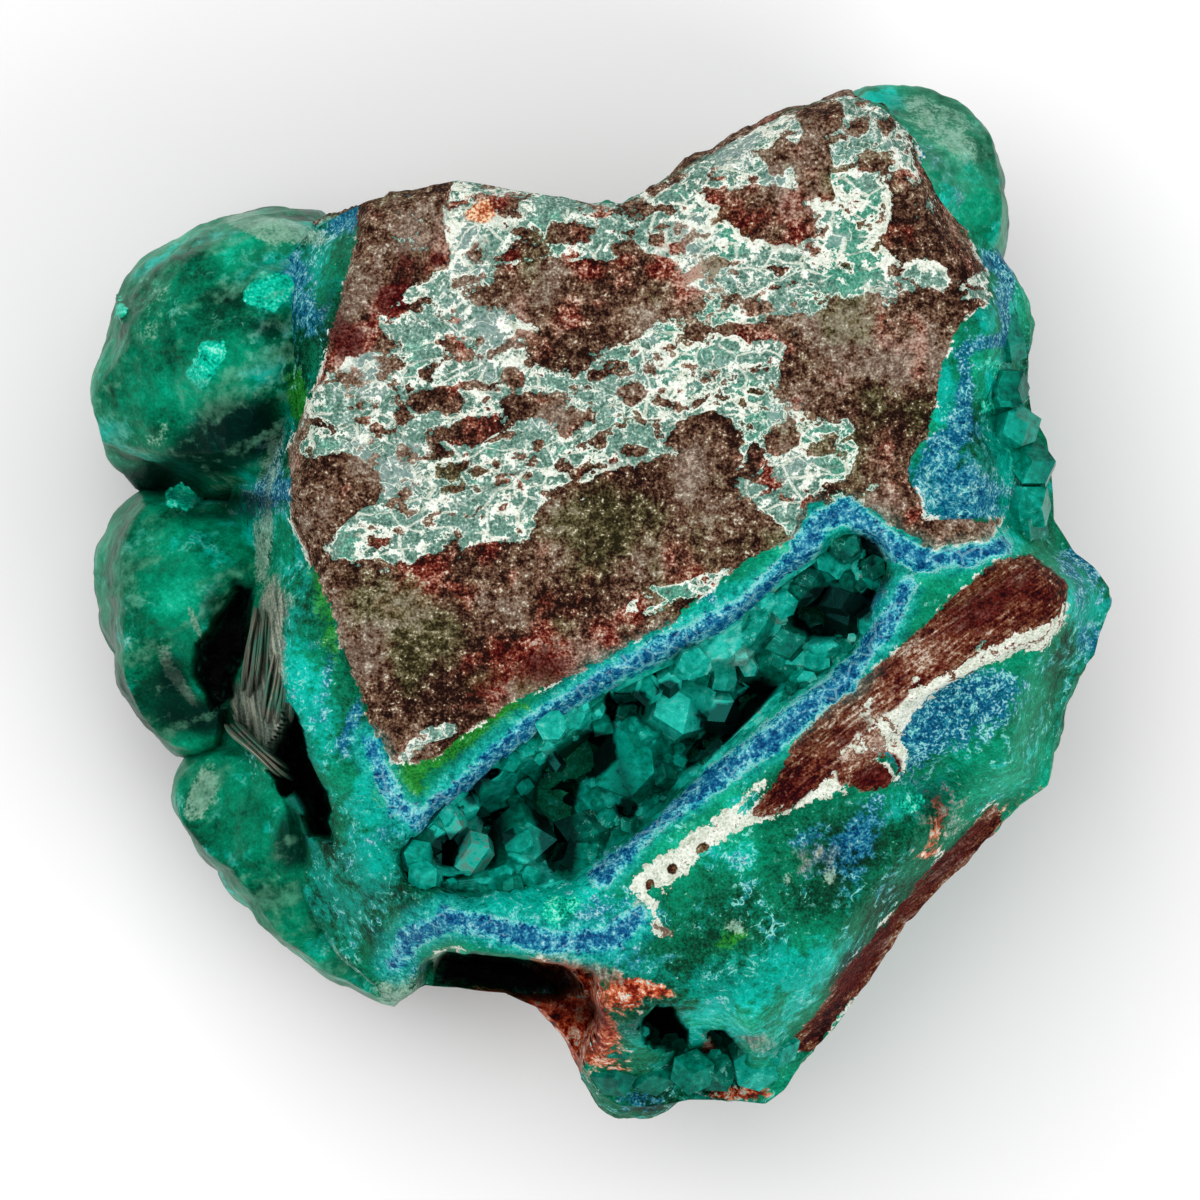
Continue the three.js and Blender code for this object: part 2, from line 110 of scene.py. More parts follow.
# %% [markdown]
# The camera hangs straight over the lump. A long lens far away sees the sides as little as the
# photograph does. Its frame is 1200 pixels wide at the lump's half height.
# %% Camera
photo_size = 1200
camera_height = 1.5
half_height = (cad_low.z + cad_high.z) / 2
camera_data = bpy.data.cameras.new("camera")
camera = bpy.data.objects.new("camera", camera_data)
bpy.context.scene.collection.objects.link(camera)
bpy.context.scene.camera = camera
frame_x, frame_y = place(photo_size / 2, photo_size / 2)
camera.location = (frame_x * mm, frame_y * mm, half_height + camera_height)
camera_data.lens = camera_data.sensor_width * camera_height / (photo_size * pixel * mm)
camera_data.clip_start = 0.01
camera_data.clip_end = 10
print("lens", round(camera_data.lens), "mm at", camera_height, "m")

# %% [markdown]
# The floor is a plain pale sheet. Soft lights do the rest: a big one over the upper left, a weaker
# one over the lower right, and a white sky at about half strength that fills the shadows. A brighter
# sky would wash out the deep greens with its reflection.
# %% Floor and lights
floor_half = 1.2
floor_mesh = bpy.data.meshes.new("floor")
floor_corners = [(-1, -1), (1, -1), (1, 1), (-1, 1)]
floor_mesh.from_pydata([(x * floor_half, y * floor_half, 0) for x, y in floor_corners], [], [(0, 1, 2, 3)])
floor = bpy.data.objects.new("floor", floor_mesh)
bpy.context.scene.collection.objects.link(floor)
floor_paint = bpy.data.materials.new("pale_floor")
floor_paint.use_nodes = True
floor_shader = floor_paint.node_tree.nodes["Principled BSDF"]
floor_shader.inputs["Base Color"].default_value = (0.93, 0.93, 0.93, 1)
floor_shader.inputs["Roughness"].default_value = 0.9
floor_mesh.materials.append(floor_paint)


def soft_light(name, place_m, power, side):
    """A square area light of the given side, turned to face the lump's middle."""
    data = bpy.data.lights.new(name, "AREA")
    data.energy = power
    data.size = side
    light = bpy.data.objects.new(name, data)
    bpy.context.scene.collection.objects.link(light)
    light.location = place_m
    away = np.array(place_m) - [0, 0, half_height]
    lean = math.acos(away[2] / np.linalg.norm(away))
    light.rotation_euler = (lean, 0, math.atan2(away[1], away[0]) + math.pi / 2)


soft_light("key", (-0.17, 0.21, 0.62), 2.7, 0.60)
soft_light("fill", (0.42, -0.30, 0.50), 1.6, 0.45)
world = bpy.data.worlds.new("sky")
world.use_nodes = True
world.node_tree.nodes["Background"].inputs["Color"].default_value = (1, 1, 1, 1)
world.node_tree.nodes["Background"].inputs["Strength"].default_value = 0.58
bpy.context.scene.world = world
bpy.context.scene.view_settings.view_transform = "Standard"

# %% [markdown]
# The rock's roughness is noise: a repeatable number for each cell of a grid, blended between the
# cells. The solids were made with the same numbers, so the fine surface follows the plain one.
# Everything works on whole arrays of points at once.
# %% Noise
def cell_value(i, j, k):
    """A repeatable number from 0 to 1 for each grid cell: its indices times large odd numbers, mixed."""
    def low32(a):
        return a & np.uint64(0xFFFFFFFF)

    i, j, k = (low32(np.asarray(a).astype(np.int64).astype(np.uint64)) for a in (i, j, k))
    h = low32(i * np.uint64(374761393)) ^ low32(j * np.uint64(668265263)) ^ low32(k * np.uint64(1440662683))
    h = low32((h ^ (h >> np.uint64(13))) * np.uint64(1274126177))
    return (h ^ (h >> np.uint64(16))) / 2.0 ** 32


def smoothstep(value, low, high):
    """0 below low, 1 above high, and t * t * (3 - 2t) in between."""
    t = np.clip((value - low) / (high - low), 0, 1)
    return t * t * (3 - 2 * t)


def noise(x, y, z):
    """Smooth noise from -1 to 1: the cell values at the eight corners round a point, blended."""
    x, y, z = np.broadcast_arrays(x, y, z)
    i, j, k = np.floor(x), np.floor(y), np.floor(z)
    u, v, w = ((t * t * (3 - 2 * t)) for t in (x - i, y - j, z - k))
    total = np.zeros(x.shape)
    for a, share_a in ((0, 1 - u), (1, u)):
        for b, share_b in ((0, 1 - v), (1, v)):
            for c, share_c in ((0, 1 - w), (1, w)):
                total += share_a * share_b * share_c * cell_value(i + a, j + b, k + c)
    return 2 * total - 1


def rough(x, y, z, size, octaves=4, keep=0.5):
    """Noise summed at finer and finer sizes, each octave half the size and keep times the height."""
    total, height = 0, 1
    for octave in range(octaves):
        scale = 2 ** octave / size
        total = total + height * noise(x * scale + 17.3 * octave, y * scale - 9.1 * octave, z * scale + 4.7)
        height *= keep
    return total


def ledges(x, y, z):
    """Noise with steps in it: wide flats joined by short rises."""
    level = noise(x, y, z) * 2.5
    flat = np.floor(level)
    return (flat + smoothstep(level - flat, 0.35, 0.65)) / 2.5


def bubbles(x, y, z, size, seed=0):
    """Rounded bumps, 0 to 1: one minus the squared distance to the nearest of a jittered grid of centres."""
    x, y, z = np.broadcast_arrays(x / size, y / size, z / size)
    i, j, k = np.floor(x), np.floor(y), np.floor(z)
    nearest = np.full(x.shape, 9.0)
    for a in (-1, 0, 1):
        for b in (-1, 0, 1):
            for c in (-1, 0, 1):
                ci, cj, ck = i + a, j + b, k + c
                dx = ci + 0.15 + 0.7 * cell_value(ci, cj, ck + 31 + seed) - x
                dy = cj + 0.15 + 0.7 * cell_value(ci, cj, ck + 57 + seed) - y
                dz = ck + 0.15 + 0.7 * cell_value(ci, cj, ck + 83 + seed) - z
                nearest = np.minimum(nearest, dx * dx + dy * dy + dz * dz)
    return np.clip(1 - nearest, 0, 1)


def facets(x, y, size, seed=0):
    """Broken facets: each point takes its nearest jittered centre's own slope. Also a number for each."""
    x, y = x / size, y / size
    i, j = np.floor(x), np.floor(y)
    nearest, height, tone = np.full(x.shape, 9.0), np.zeros(x.shape), np.zeros(x.shape)
    for a in (-1, 0, 1):
        for b in (-1, 0, 1):
            ci, cj = i + a, j + b
            dx = ci + 0.1 + 0.8 * cell_value(ci, cj, seed + 1) - x
            dy = cj + 0.1 + 0.8 * cell_value(ci, cj, seed + 2) - y
            slope_x, slope_y = cell_value(ci, cj, seed + 3) - 0.5, cell_value(ci, cj, seed + 4) - 0.5
            here = dx * dx + dy * dy
            nearer = here < nearest
            nearest = np.where(nearer, here, nearest)
            tone = np.where(nearer, cell_value(ci, cj, seed + 5), tone)
            height = np.where(nearer, size * 1.8 * (slope_x * dx + slope_y * dy), height)
    return height, tone


# %% [markdown]
# Outlines and patches are lists of photograph places. A point's distance from an outline is
# worked out here, positive inside, so that a finish can start at a crisp edge or fade over one.
# %% Distances to outlines, lines and spots
def inside_distance(u, v, outline):
    """Signed distance in mm from a closed outline: the nearest side's, positive inside."""
    nearest = np.full(u.shape, np.inf)
    inside = np.zeros(u.shape, bool)
    for (ax, ay), (bx, by) in zip(outline, outline[1:] + outline[:1]):
        dx, dy = bx - ax, by - ay
        t = np.clip(((u - ax) * dx + (v - ay) * dy) / (dx * dx + dy * dy), 0, 1)
        nearest = np.minimum(nearest, np.hypot(u - ax - t * dx, v - ay - t * dy))
        if by != ay:
            inside ^= ((ay > v) != (by > v)) & (u < ax + (v - ay) / (by - ay) * dx)
    return np.where(inside, nearest, -nearest) * pixel


def inside_any(u, v, outlines):
    """How far in mm a place lies inside the outline that it is deepest in, negative outside them all."""
    return np.max([inside_distance(u, v, outline) for outline in outlines], axis=0)


def line_distance(u, v, path):
    """Distance in mm outside a line of changing half width: path rows are x, y, half width in pixels."""
    nearest = np.full(u.shape, np.inf)
    for (ax, ay, aw), (bx, by, bw) in zip(path, path[1:]):
        dx, dy = bx - ax, by - ay
        t = np.clip(((u - ax) * dx + (v - ay) * dy) / (dx * dx + dy * dy), 0, 1)
        nearest = np.minimum(nearest, np.hypot(u - ax - t * dx, v - ay - t * dy) - (aw + t * (bw - aw)))
    return nearest * pixel


def spots(u, v, rows):
    """Soft round or long spots, added up: rows are x, y, half length, half width, turn, strength."""
    total = np.zeros(u.shape)
    for x, y, long, short, turn, strength in rows:
        c, s = math.cos(math.radians(turn)), math.sin(math.radians(turn))
        along = ((u - x) * c - (v - y) * s) / long
        across = ((u - x) * s + (v - y) * c) / short
        total += strength * np.exp(-(along ** 2 + across ** 2))
    return total


def around(rows, column, degrees):
    """The value at a direction, blended between rows that start with a direction and go round once."""
    rows = sorted(rows)
    turns = [row[0] for row in rows]
    values = [row[column] for row in rows]
    return np.interp(np.mod(degrees, 360), turns, values, period=360)


def polar(outline, centre):
    """An outline as rows of direction in degrees and radius in mm about its centre."""
    cx, cy = place(*centre)
    rows = []
    for point in outline:
        x, y = place(*point)
        rows.append((math.degrees(math.atan2(y - cy, x - cx)) % 360, math.hypot(x - cx, y - cy)))
    return sorted(rows)


# %% [markdown]
# These are the lump's outlines and its height rules, as the solids have them: where the face rolls
# off, which plates stand proud of the rinds, and which slanted breaks cut the sides under.
# %% Outlines of the rock
face_height = 29.0  # mm above the floor
gap = 0.35  # between neighbouring solids
plate_step = 0.7
spare = 3.0  # how far under the back the sides aim
rock_centre = (640, 570)
rock_outline = [
    (1052, 520), (1050, 480), (1045, 440), (1030, 415), (1024, 380), (1028, 330), (1018, 290), (998, 262),
    (960, 218), (936, 176), (906, 136), (880, 112), (845, 99), (800, 113), (745, 143), (700, 166),
    (660, 187), (622, 207), (590, 207), (555, 200), (515, 194), (480, 187), (458, 184), (430, 190),
    (400, 197), (370, 204), (345, 216), (310, 235), (276, 280), (262, 340), (258, 400), (248, 450),
    (230, 500), (208, 560), (194, 610), (188, 660), (198, 710), (226, 750), (262, 790), (280, 830),
    (310, 900), (340, 950), (385, 990), (405, 993), (425, 985), (460, 988), (505, 993), (545, 1010),
    (562, 1030), (585, 1065), (600, 1092), (618, 1104), (645, 1106), (690, 1099), (730, 1099), (765, 1103),
    (785, 1088), (802, 1058), (830, 1030), (858, 992), (880, 960), (905, 920), (940, 885), (972, 852),
    (1000, 820), (1025, 797), (1046, 785), (1050, 750), (1060, 710), (1074, 675), (1092, 655), (1097, 635),
    (1108, 605), (1107, 588), (1093, 568), (1072, 552),
]
# Directions in degrees, with how far the face drops there, and over what width, in mm.
roll_off = [
    (7, 8, 6), (26, 7, 5), (41, 5, 3), (62, 2, 2), (76, 1.5, 1.5), (96, 1, 1), (115, 1, 1), (127, 1.5, 1.5),
    (135, 5, 4), (149, 8, 5.5), (168, 9, 5.5), (179, 15, 8), (192, 16, 8), (202, 14, 7), (209, 10, 5),
    (225, 9, 8), (239, 7, 7), (247, 3, 3), (258, 4, 4), (267, 11, 8), (280, 12, 8), (292, 9, 5),
    (307, 8, 4), (325, 7, 4), (352, 7, 4),
]
face_plate = [
    (365, 205), (360, 240), (345, 300), (320, 380), (290, 450), (295, 520), (335, 610), (352, 670),
    (385, 745), (405, 785), (480, 735), (560, 680), (660, 630), (720, 580), (795, 535), (810, 505),
    (865, 508), (910, 545), (985, 540), (1000, 520), (925, 515), (905, 470), (945, 390), (968, 330),
    (975, 262), (930, 190), (880, 100), (800, 113), (700, 166), (600, 208), (460, 185),
]
lower_plate = [
    (748, 828), (790, 770), (830, 725), (880, 672), (940, 612), (1030, 556), (1066, 585), (1055, 625),
    (960, 678), (905, 705), (880, 750), (850, 790), (800, 812),
]
# Places, with a reach in pixels and a height in mm.
swellings = [
    (760, 925, 130, 1.3), (1005, 715, 75, 1.3), (935, 795, 62, -2.2), (955, 465, 60, 0.9),
    (345, 640, 45, 0.6), (470, 905, 85, 1.0), (345, 875, 60, 1.6), (700, 1050, 60, -2.6),
    (868, 545, 60, 0.8), (300, 560, 50, -1.0),
]
# Directions, with the height in mm where the side breaks under, and the angle from upright.
broken_faces = [
    (20, 14, 36), (62, 12, 30), (100, 15, 38), (140, 13, 32), (180, 9, 34), (214, 10, 40), (262, 7, 46),
    (300, 13, 38), (335, 15, 40),
]
# Each hollow's floor height in mm, and its outline.
hollows_to_floor = {
    "ledge": (15, [(400, 1040), (428, 962), (446, 950), (482, 950), (560, 962), (592, 975), (600, 1010),
                   (566, 1100)]),
    "pocket_under_rim": (8, [(434, 984), (443, 953), (482, 953), (525, 958), (560, 966), (582, 990),
                             (560, 1002), (500, 988)]),
    "tip_hole": (12, [(643, 1044), (643, 1022), (650, 1004), (670, 1004), (685, 1038), (678, 1054)]),
    "tip_groove": (13, [(699, 1033), (722, 1035), (741, 1060), (733, 1090), (722, 1064)]),
    "upper_cleft": (10, [(216, 710), (193, 675), (196, 645), (223, 612), (234, 590), (252, 592), (250, 645),
                         (238, 704)]),
    "lower_cleft": (9, [(291, 706), (283, 738), (272, 768), (284, 802), (298, 792), (316, 834), (336, 838),
                        (328, 796), (306, 742)]),
}
# The diagonal hollow's middle line: places, half width in pixels, depth in mm.
hollow_path = [
    (430, 858, 20, 2.5), (472, 846, 42, 5), (540, 816, 62, 6.5), (608, 768, 62, 6.5),
    (680, 716, 48, 6), (750, 668, 38, 5.5), (814, 618, 44, 6), (852, 566, 24, 3),
]
crust_top = 26.6
lining_path = [(416, 865, 10, 1.0)] + hollow_path + [(862, 550, 12, 1.0)]

# %% [markdown]
# Where each mineral shows on the face. The blue bands and the white veins are lines with a half
# width. The brown plates, the grey-green filling and the bright flakes are outlines, and the brown
# islands in the filling are ovals. The rest are soft spots: stains, rust, pale places, dark places
# that are partly painted shade, and the crust's gaps, painted black as shade. Noise breaks up all
# their edges.
# %% Where the minerals show
blue_bands = [
    [(372, 742, 6), (385, 775, 8), (400, 805, 10), (425, 820, 12), (470, 780, 11), (530, 730, 11),
     (600, 680, 11), (680, 640, 11), (740, 610, 11), (790, 572, 12), (806, 545, 12), (818, 522, 11),
     (845, 511, 10), (870, 530, 11), (890, 547, 11), (920, 560, 10), (970, 556, 9), (1000, 546, 8)],
    [(600, 872, 11), (640, 830, 11), (690, 790, 12), (740, 760, 12), (790, 720, 12), (840, 680, 12),
     (870, 640, 11), (890, 615, 9), (905, 585, 7)],
    [(395, 962, 8), (410, 935, 9), (450, 915, 10), (500, 925, 11), (560, 940, 11), (610, 935, 12),
     (640, 912, 9)],
]
white_vein = [
    (632, 886, 5), (660, 872, 12), (700, 842, 12), (738, 818, 8), (764, 812, 4), (800, 799, 4),
    (838, 782, 7), (850, 757, 11), (868, 740, 17), (884, 725, 20), (905, 704, 14), (925, 689, 7),
    (950, 674, 5), (977, 660, 5), (1013, 643, 7), (1035, 640, 11), (1054, 622, 6), (1062, 604, 4),
]
vein_tail = [(636, 888, 4), (650, 900, 5), (658, 925, 5), (668, 930, 3)]
vein_upper = [(858, 714, 3), (885, 697, 6), (912, 680, 3)]
vein_fork = [(715, 824, 7), (740, 801, 6), (762, 781, 4)]
vein_spur = [(884, 738, 14), (899, 755, 9), (899, 769, 5)]
pale_lip = [(462, 949, 2), (446, 952, 4), (437, 967, 7), (430, 984, 4)]
all_veins = (white_vein, vein_tail, vein_upper, vein_fork, vein_spur, pale_lip)
filled_zone = [
    (458, 165), (520, 175), (600, 190), (660, 170), (700, 146), (745, 123), (800, 93), (845, 80), (880, 80),
    (912, 110), (915, 180), (886, 192), (884, 250), (900, 268), (988, 280), (990, 302), (930, 296),
    (826, 299), (812, 318), (786, 345), (780, 378), (776, 400), (800, 422), (838, 420), (852, 450),
    (845, 480), (800, 498), (792, 530), (760, 522), (738, 492), (742, 456), (720, 445), (640, 458),
    (560, 478), (526, 505), (530, 538), (480, 545), (440, 562), (380, 572), (340, 556), (352, 530),
    (380, 500), (376, 470), (330, 452), (300, 450), (320, 405), (348, 372), (392, 350), (385, 322),
    (412, 308), (432, 282), (452, 255), (450, 210),
]
# Soft spots, as all rows of six numbers below: place, half length, half width, turn, strength.
lower_lace = [
    (690, 588, 50, 12, 28, 1.0), (640, 604, 30, 8, 28, 0.8), (430, 742, 36, 10, 15, 0.8),
    (350, 540, 30, 16, 0, 0.6), (850, 500, 34, 8, 5, 0.7), (970, 655, 60, 5, 38, 0.4),
    (405, 235, 40, 46, 0, 0.40), (330, 400, 26, 50, 20, 0.42), (370, 545, 36, 22, 0, 0.40),
    (925, 205, 30, 40, 0, 0.36), (560, 500, 90, 8, 5, 0.35), (655, 420, 40, 16, 0, 0.30),
]
# Ovals: place, half length, half width, and turn in degrees.
brown_islands = [
    (571, 297, 80, 38, -4), (560, 349, 32, 30, 0), (640, 289, 48, 40, 5), (679, 309, 26, 18, 0),
    (487, 297, 22, 9, -10), (399, 361, 10, 8, 0), (346, 382, 26, 9, 10), (313, 429, 20, 9, 15),
    (439, 407, 34, 13, -8), (368, 427, 13, 8, 0), (465, 438, 46, 12, 12), (528, 410, 34, 12, 5),
    (502, 351, 34, 8, 3), (514, 381, 14, 9, 0), (567, 232, 20, 10, 10), (521, 256, 28, 10, 12),
    (627, 244, 15, 10, 0), (441, 261, 10, 9, 0), (471, 252, 12, 12, 0), (502, 207, 20, 8, 0),
    (565, 422, 20, 8, 10), (604, 373, 13, 9, 20), (632, 397, 14, 11, 30), (452, 471, 16, 7, -5),
    (531, 465, 15, 6, 0), (493, 477, 8, 6, 0), (586, 462, 18, 7, 5), (632, 445, 18, 8, 0),
    (484, 410, 8, 5, 20), (412, 460, 9, 8, 0), (766, 217, 54, 27, -18), (812, 172, 22, 40, 5),
    (819, 118, 22, 24, 0), (776, 156, 13, 20, 0), (852, 133, 14, 14, 0), (884, 132, 12, 9, 0),
    (875, 169, 24, 9, 0), (753, 332, 66, 10, 4), (717, 274, 24, 7, 8), (664, 399, 13, 7, 0),
    (699, 437, 38, 26, 0), (779, 434, 14, 14, 30), (660, 233, 11, 9, 0), (682, 226, 8, 6, 0),
    (674, 212, 9, 6, 0), (708, 198, 10, 9, 0), (700, 395, 16, 6, 10), (745, 400, 12, 5, 0),
    (600, 330, 40, 20, 0), (755, 458, 10, 20, 0),
]
thick_white = [
    (348, 364, 9, 9, 0, 1.2), (520, 330, 26, 6, 4, 1.0), (516, 362, 30, 7, 8, 1.0),
    (364, 440, 9, 6, -30, 1.0), (703, 217, 14, 18, 0, 1.0), (884, 228, 5, 36, 0, 1.3),
    (925, 270, 36, 5, -5, 1.2), (978, 284, 14, 4, 0, 1.2), (760, 250, 40, 8, -5, 0.9),
    (455, 235, 8, 24, 10, 0.9), (440, 290, 34, 7, 25, 0.7), (480, 392, 18, 7, 0, 0.8),
    (660, 250, 26, 10, 30, 0.7), (840, 250, 26, 16, 20, 0.6), (690, 340, 60, 8, 5, 0.5),
    (500, 225, 36, 16, 20, 0.8), (810, 478, 20, 8, -10, 0.6), (690, 400, 40, 14, 10, 0.4),
    (640, 190, 40, 10, 10, 0.5), (600, 470, 60, 5, 5, 0.5),
]
deep_red = [
    (350, 345, 16, 26, 30, 1.4), (395, 300, 26, 18, 20, 1.1), (640, 280, 110, 34, -5, 0.60),
    (740, 220, 60, 30, 10, 0.6), (560, 330, 50, 30, 0, 0.6), (600, 650, 150, 30, 30, 0.6),
    (690, 560, 40, 50, 0, 0.4), (870, 772, 28, 18, 10, 1.6), (800, 780, 40, 14, 45, 1.0),
    (960, 640, 90, 24, 38, 0.8), (590, 1010, 40, 60, -40, 1.6), (500, 205, 20, 10, 20, 1.0),
    (860, 170, 60, 40, 0, 0.5), (1040, 600, 12, 20, 0, 0.8), (450, 560, 60, 20, 10, 0.5),
    (365, 340, 40, 14, 47, 1.6), (441, 261, 9, 9, 0, 1.0), (471, 250, 10, 10, 0, 0.7),
    (535, 665, 46, 34, 10, 1.0), (466, 590, 16, 18, 0, 0.8), (640, 700, 50, 16, 30, 0.8),
    (868, 772, 26, 20, 0, 1.6), (900, 660, 60, 26, 42, 0.6), (860, 720, 50, 20, 48, 0.7),
    (790, 790, 40, 16, 45, 0.8), (702, 846, 7, 7, 0, 1.7), (672, 866, 6, 6, 0, 1.7),
    (649, 882, 6, 6, 0, 1.7), (760, 806, 14, 7, 30, 1.3),
]
olive = [
    (640, 500, 90, 40, 5, 0.9), (400, 620, 50, 40, 0, 0.8), (880, 330, 60, 30, 0, 0.6),
    (440, 470, 60, 30, 0, 0.6), (520, 680, 60, 40, 0, 0.5), (700, 640, 30, 20, 20, 0.6),
]
blue_stain = [
    (300, 290, 18, 50, 20, 1.2), (282, 350, 14, 50, 0, 1.1), (262, 440, 18, 60, 8, 1.2),
    (290, 490, 40, 16, 15, 1.0), (336, 650, 8, 60, -12, 1.0), (354, 722, 8, 36, -20, 1.1),
    (325, 600, 10, 30, 0, 0.5), (345, 225, 30, 14, 30, 1.1), (930, 160, 18, 40, 20, 1.2),
    (955, 220, 14, 40, -10, 1.0), (1003, 300, 9, 46, 0, 1.4), (985, 265, 16, 14, 0, 1.0),
    (984, 345, 24, 8, 15, 1.4), (961, 378, 9, 40, 0, 1.3), (950, 436, 30, 14, 45, 1.4),
    (935, 480, 36, 40, 10, 1.3), (980, 505, 50, 20, 20, 1.1), (950, 712, 66, 30, 25, 1.4),
    (1085, 575, 24, 34, 30, 0.8), (1070, 560, 30, 12, 30, 0.7), (820, 850, 44, 36, 0, 0.55),
    (865, 820, 16, 40, -30, 0.9), (650, 600, 60, 12, 30, 0.8), (690, 590, 20, 16, 0, 0.8),
    (690, 190, 60, 14, 25, 1.0), (740, 160, 50, 12, 25, 0.9), (480, 930, 80, 16, -8, 0.7),
    (600, 920, 40, 30, 0, 0.9), (620, 950, 60, 14, -10, 0.7), (640, 1100, 30, 12, 0, 0.7),
    (410, 960, 12, 24, 0, 1.0), (385, 830, 20, 14, 30, 0.7), (905, 690, 40, 16, 35, 0.8),
    (860, 590, 20, 18, 0, 0.6), (880, 620, 30, 30, 0, 0.7), (1090, 640, 16, 16, 0, 0.8),
    (1080, 690, 12, 20, 0, 0.6), (290, 280, 30, 14, 0, 0.6),
]
grass_green = [
    (400, 783, 24, 24, 0, 1.8), (455, 745, 40, 11, 33, 1.3), (500, 718, 36, 10, 33, 1.0),
    (300, 400, 10, 30, 10, 1.3), (320, 570, 10, 60, 8, 0.7), (335, 640, 9, 34, 0, 0.7),
    (732, 934, 18, 8, 25, 0.9), (640, 745, 20, 20, 0, 0.5), (560, 760, 40, 18, 30, 0.4),
    (600, 790, 30, 16, 0, 0.5), (455, 190, 10, 8, 0, 0.5), (600, 830, 20, 20, 0, 0.6),
]
bright_teal = [
    (440, 188, 24, 8, 0, 1.2), (280, 290, 26, 18, 10, 1.2), (500, 760, 60, 14, 33, 0.8),
    (700, 620, 90, 18, 28, 1.0), (740, 655, 60, 20, 30, 1.1), (620, 700, 50, 20, 30, 0.9),
    (300, 620, 20, 60, 0, 0.4), (320, 740, 24, 70, -15, 0.6), (260, 520, 24, 50, 0, 0.8),
    (330, 460, 26, 16, 20, 0.9), (870, 640, 30, 30, 0, 0.6), (1080, 610, 30, 40, 0, 0.7),
    (905, 805, 30, 18, 10, 0.8), (520, 860, 70, 30, 10, 1.0), (760, 980, 120, 30, 15, 0.7),
    (640, 960, 60, 20, -10, 0.5), (700, 1040, 90, 20, 0, 0.5), (1000, 470, 26, 60, 0, 1.4),
    (800, 300, 90, 14, -4, 0.5), (875, 105, 26, 14, 0, 1.2), (380, 850, 20, 40, -20, 0.8),
    (570, 900, 70, 24, 0, 0.8), (345, 895, 45, 50, 0, 0.6), (300, 700, 24, 60, -10, 0.4),
    (942, 395, 11, 34, 0, 1.3), (982, 318, 12, 22, 0, 1.0), (925, 490, 36, 34, 0, 1.2),
    (998, 370, 10, 26, -20, 1.1), (290, 420, 16, 60, 0, 0.5), (320, 270, 24, 50, 0, 0.7),
    (370, 800, 20, 40, 0, 0.5), (310, 560, 18, 50, 0, 0.3),
]
# Dark places: partly dark mineral, partly painted shade in creases, clefts and undercuts.
dark_and_shaded_places = [
    (240, 440, 70, 34, 20, 1.1), (330, 300, 26, 40, 0, 0.7), (225, 420, 60, 26, 25, 0.8),
    (180, 470, 60, 20, 10, 0.8), (225, 320, 60, 26, 10, 0.5), (270, 330, 24, 14, 0, 0.8),
    (250, 500, 46, 14, -4, 1.0), (215, 515, 60, 10, -4, 0.8), (160, 650, 24, 30, 20, 0.6),
    (215, 600, 16, 30, -20, 0.9), (200, 720, 60, 20, 0, 0.7), (180, 680, 20, 30, 10, 0.7),
    (240, 810, 40, 30, 0, 0.3), (300, 850, 30, 30, 0, 0.9), (300, 790, 18, 60, -15, 0.9),
    (150, 705, 30, 34, 0, 0.7), (205, 715, 26, 26, 0, 0.8), (690, 890, 50, 40, 20, 0.25),
    (760, 900, 70, 40, 10, 0.2), (950, 858, 54, 12, 48, 1.0), (860, 964, 78, 12, 51, 1.0),
    (470, 640, 110, 70, 10, 0.32), (640, 650, 120, 60, 10, 0.24), (420, 230, 50, 60, 0, 0.36),
    (930, 800, 50, 40, 0, 0.9), (560, 1000, 110, 26, -18, 1.0), (700, 1060, 60, 20, 0, 0.7),
    (716, 1066, 20, 34, 0, 1.0), (890, 880, 36, 30, 50, 0.5), (1020, 500, 16, 60, 0, 0.5),
    (860, 560, 26, 30, 0, 0.9), (885, 590, 16, 24, 0, 0.7), (352, 344, 18, 20, 40, 1.2),
    (392, 304, 18, 14, 30, 1.2), (405, 265, 20, 20, 0, 0.6), (440, 262, 8, 8, 0, 0.8),
    (930, 640, 80, 22, 40, 0.6), (840, 740, 40, 18, 48, 0.6), (872, 772, 24, 14, 10, 0.7),
    (790, 792, 40, 12, 45, 0.6), (312, 660, 18, 100, -8, 0.45), (540, 668, 34, 24, 10, 0.6),
    (470, 700, 40, 16, 20, 0.4), (1000, 600, 60, 24, 38, 0.6), (868, 772, 20, 12, 0, 0.5),
    (760, 800, 30, 12, 50, 0.6), (640, 650, 20, 14, 20, 0.5), (300, 920, 40, 30, 0, 0.5),
    (250, 560, 50, 16, -5, 0.4),
]
pale_places = [
    (280, 230, 60, 10, -14, 1.2), (170, 300, 30, 40, 30, 0.5), (150, 360, 16, 60, 0, 0.4),
    (160, 440, 60, 16, 25, 0.5), (203, 788, 16, 36, -20, 1.2), (186, 690, 5, 30, 35, 1.0),
    (196, 620, 5, 34, 20, 0.9), (265, 540, 12, 50, -4, 1.1), (285, 600, 16, 20, 0, 0.7),
    (400, 990, 22, 22, 0, 1.3), (330, 950, 50, 14, -40, 0.6), (443, 965, 8, 18, 20, 2.2),
    (1010, 440, 20, 60, 0, 0.5), (980, 530, 40, 16, 10, 0.8), (275, 450, 20, 40, 0, 0.7),
    (900, 180, 24, 30, 0, 0.7), (800, 320, 100, 12, -3, 0.6), (280, 870, 30, 30, 0, 0.4),
    (170, 660, 12, 40, 20, 0.6), (130, 640, 10, 50, 10, 0.4), (1085, 570, 20, 20, 0, 0.6),
    (690, 180, 60, 16, 22, 0.8), (640, 288, 84, 36, -5, 1.0), (720, 560, 60, 40, 10, 0.4),
    (822, 852, 30, 24, 0, 0.5), (786, 878, 8, 8, 0, 0.8), (828, 876, 8, 10, 0, 0.8),
    (950, 820, 40, 16, 50, 0.6), (945, 130, 56, 30, -42, 0.9), (250, 225, 60, 16, -30, 0.6),
    (735, 924, 14, 7, -20, 1.4), (760, 1040, 40, 14, 0, 0.6),
]
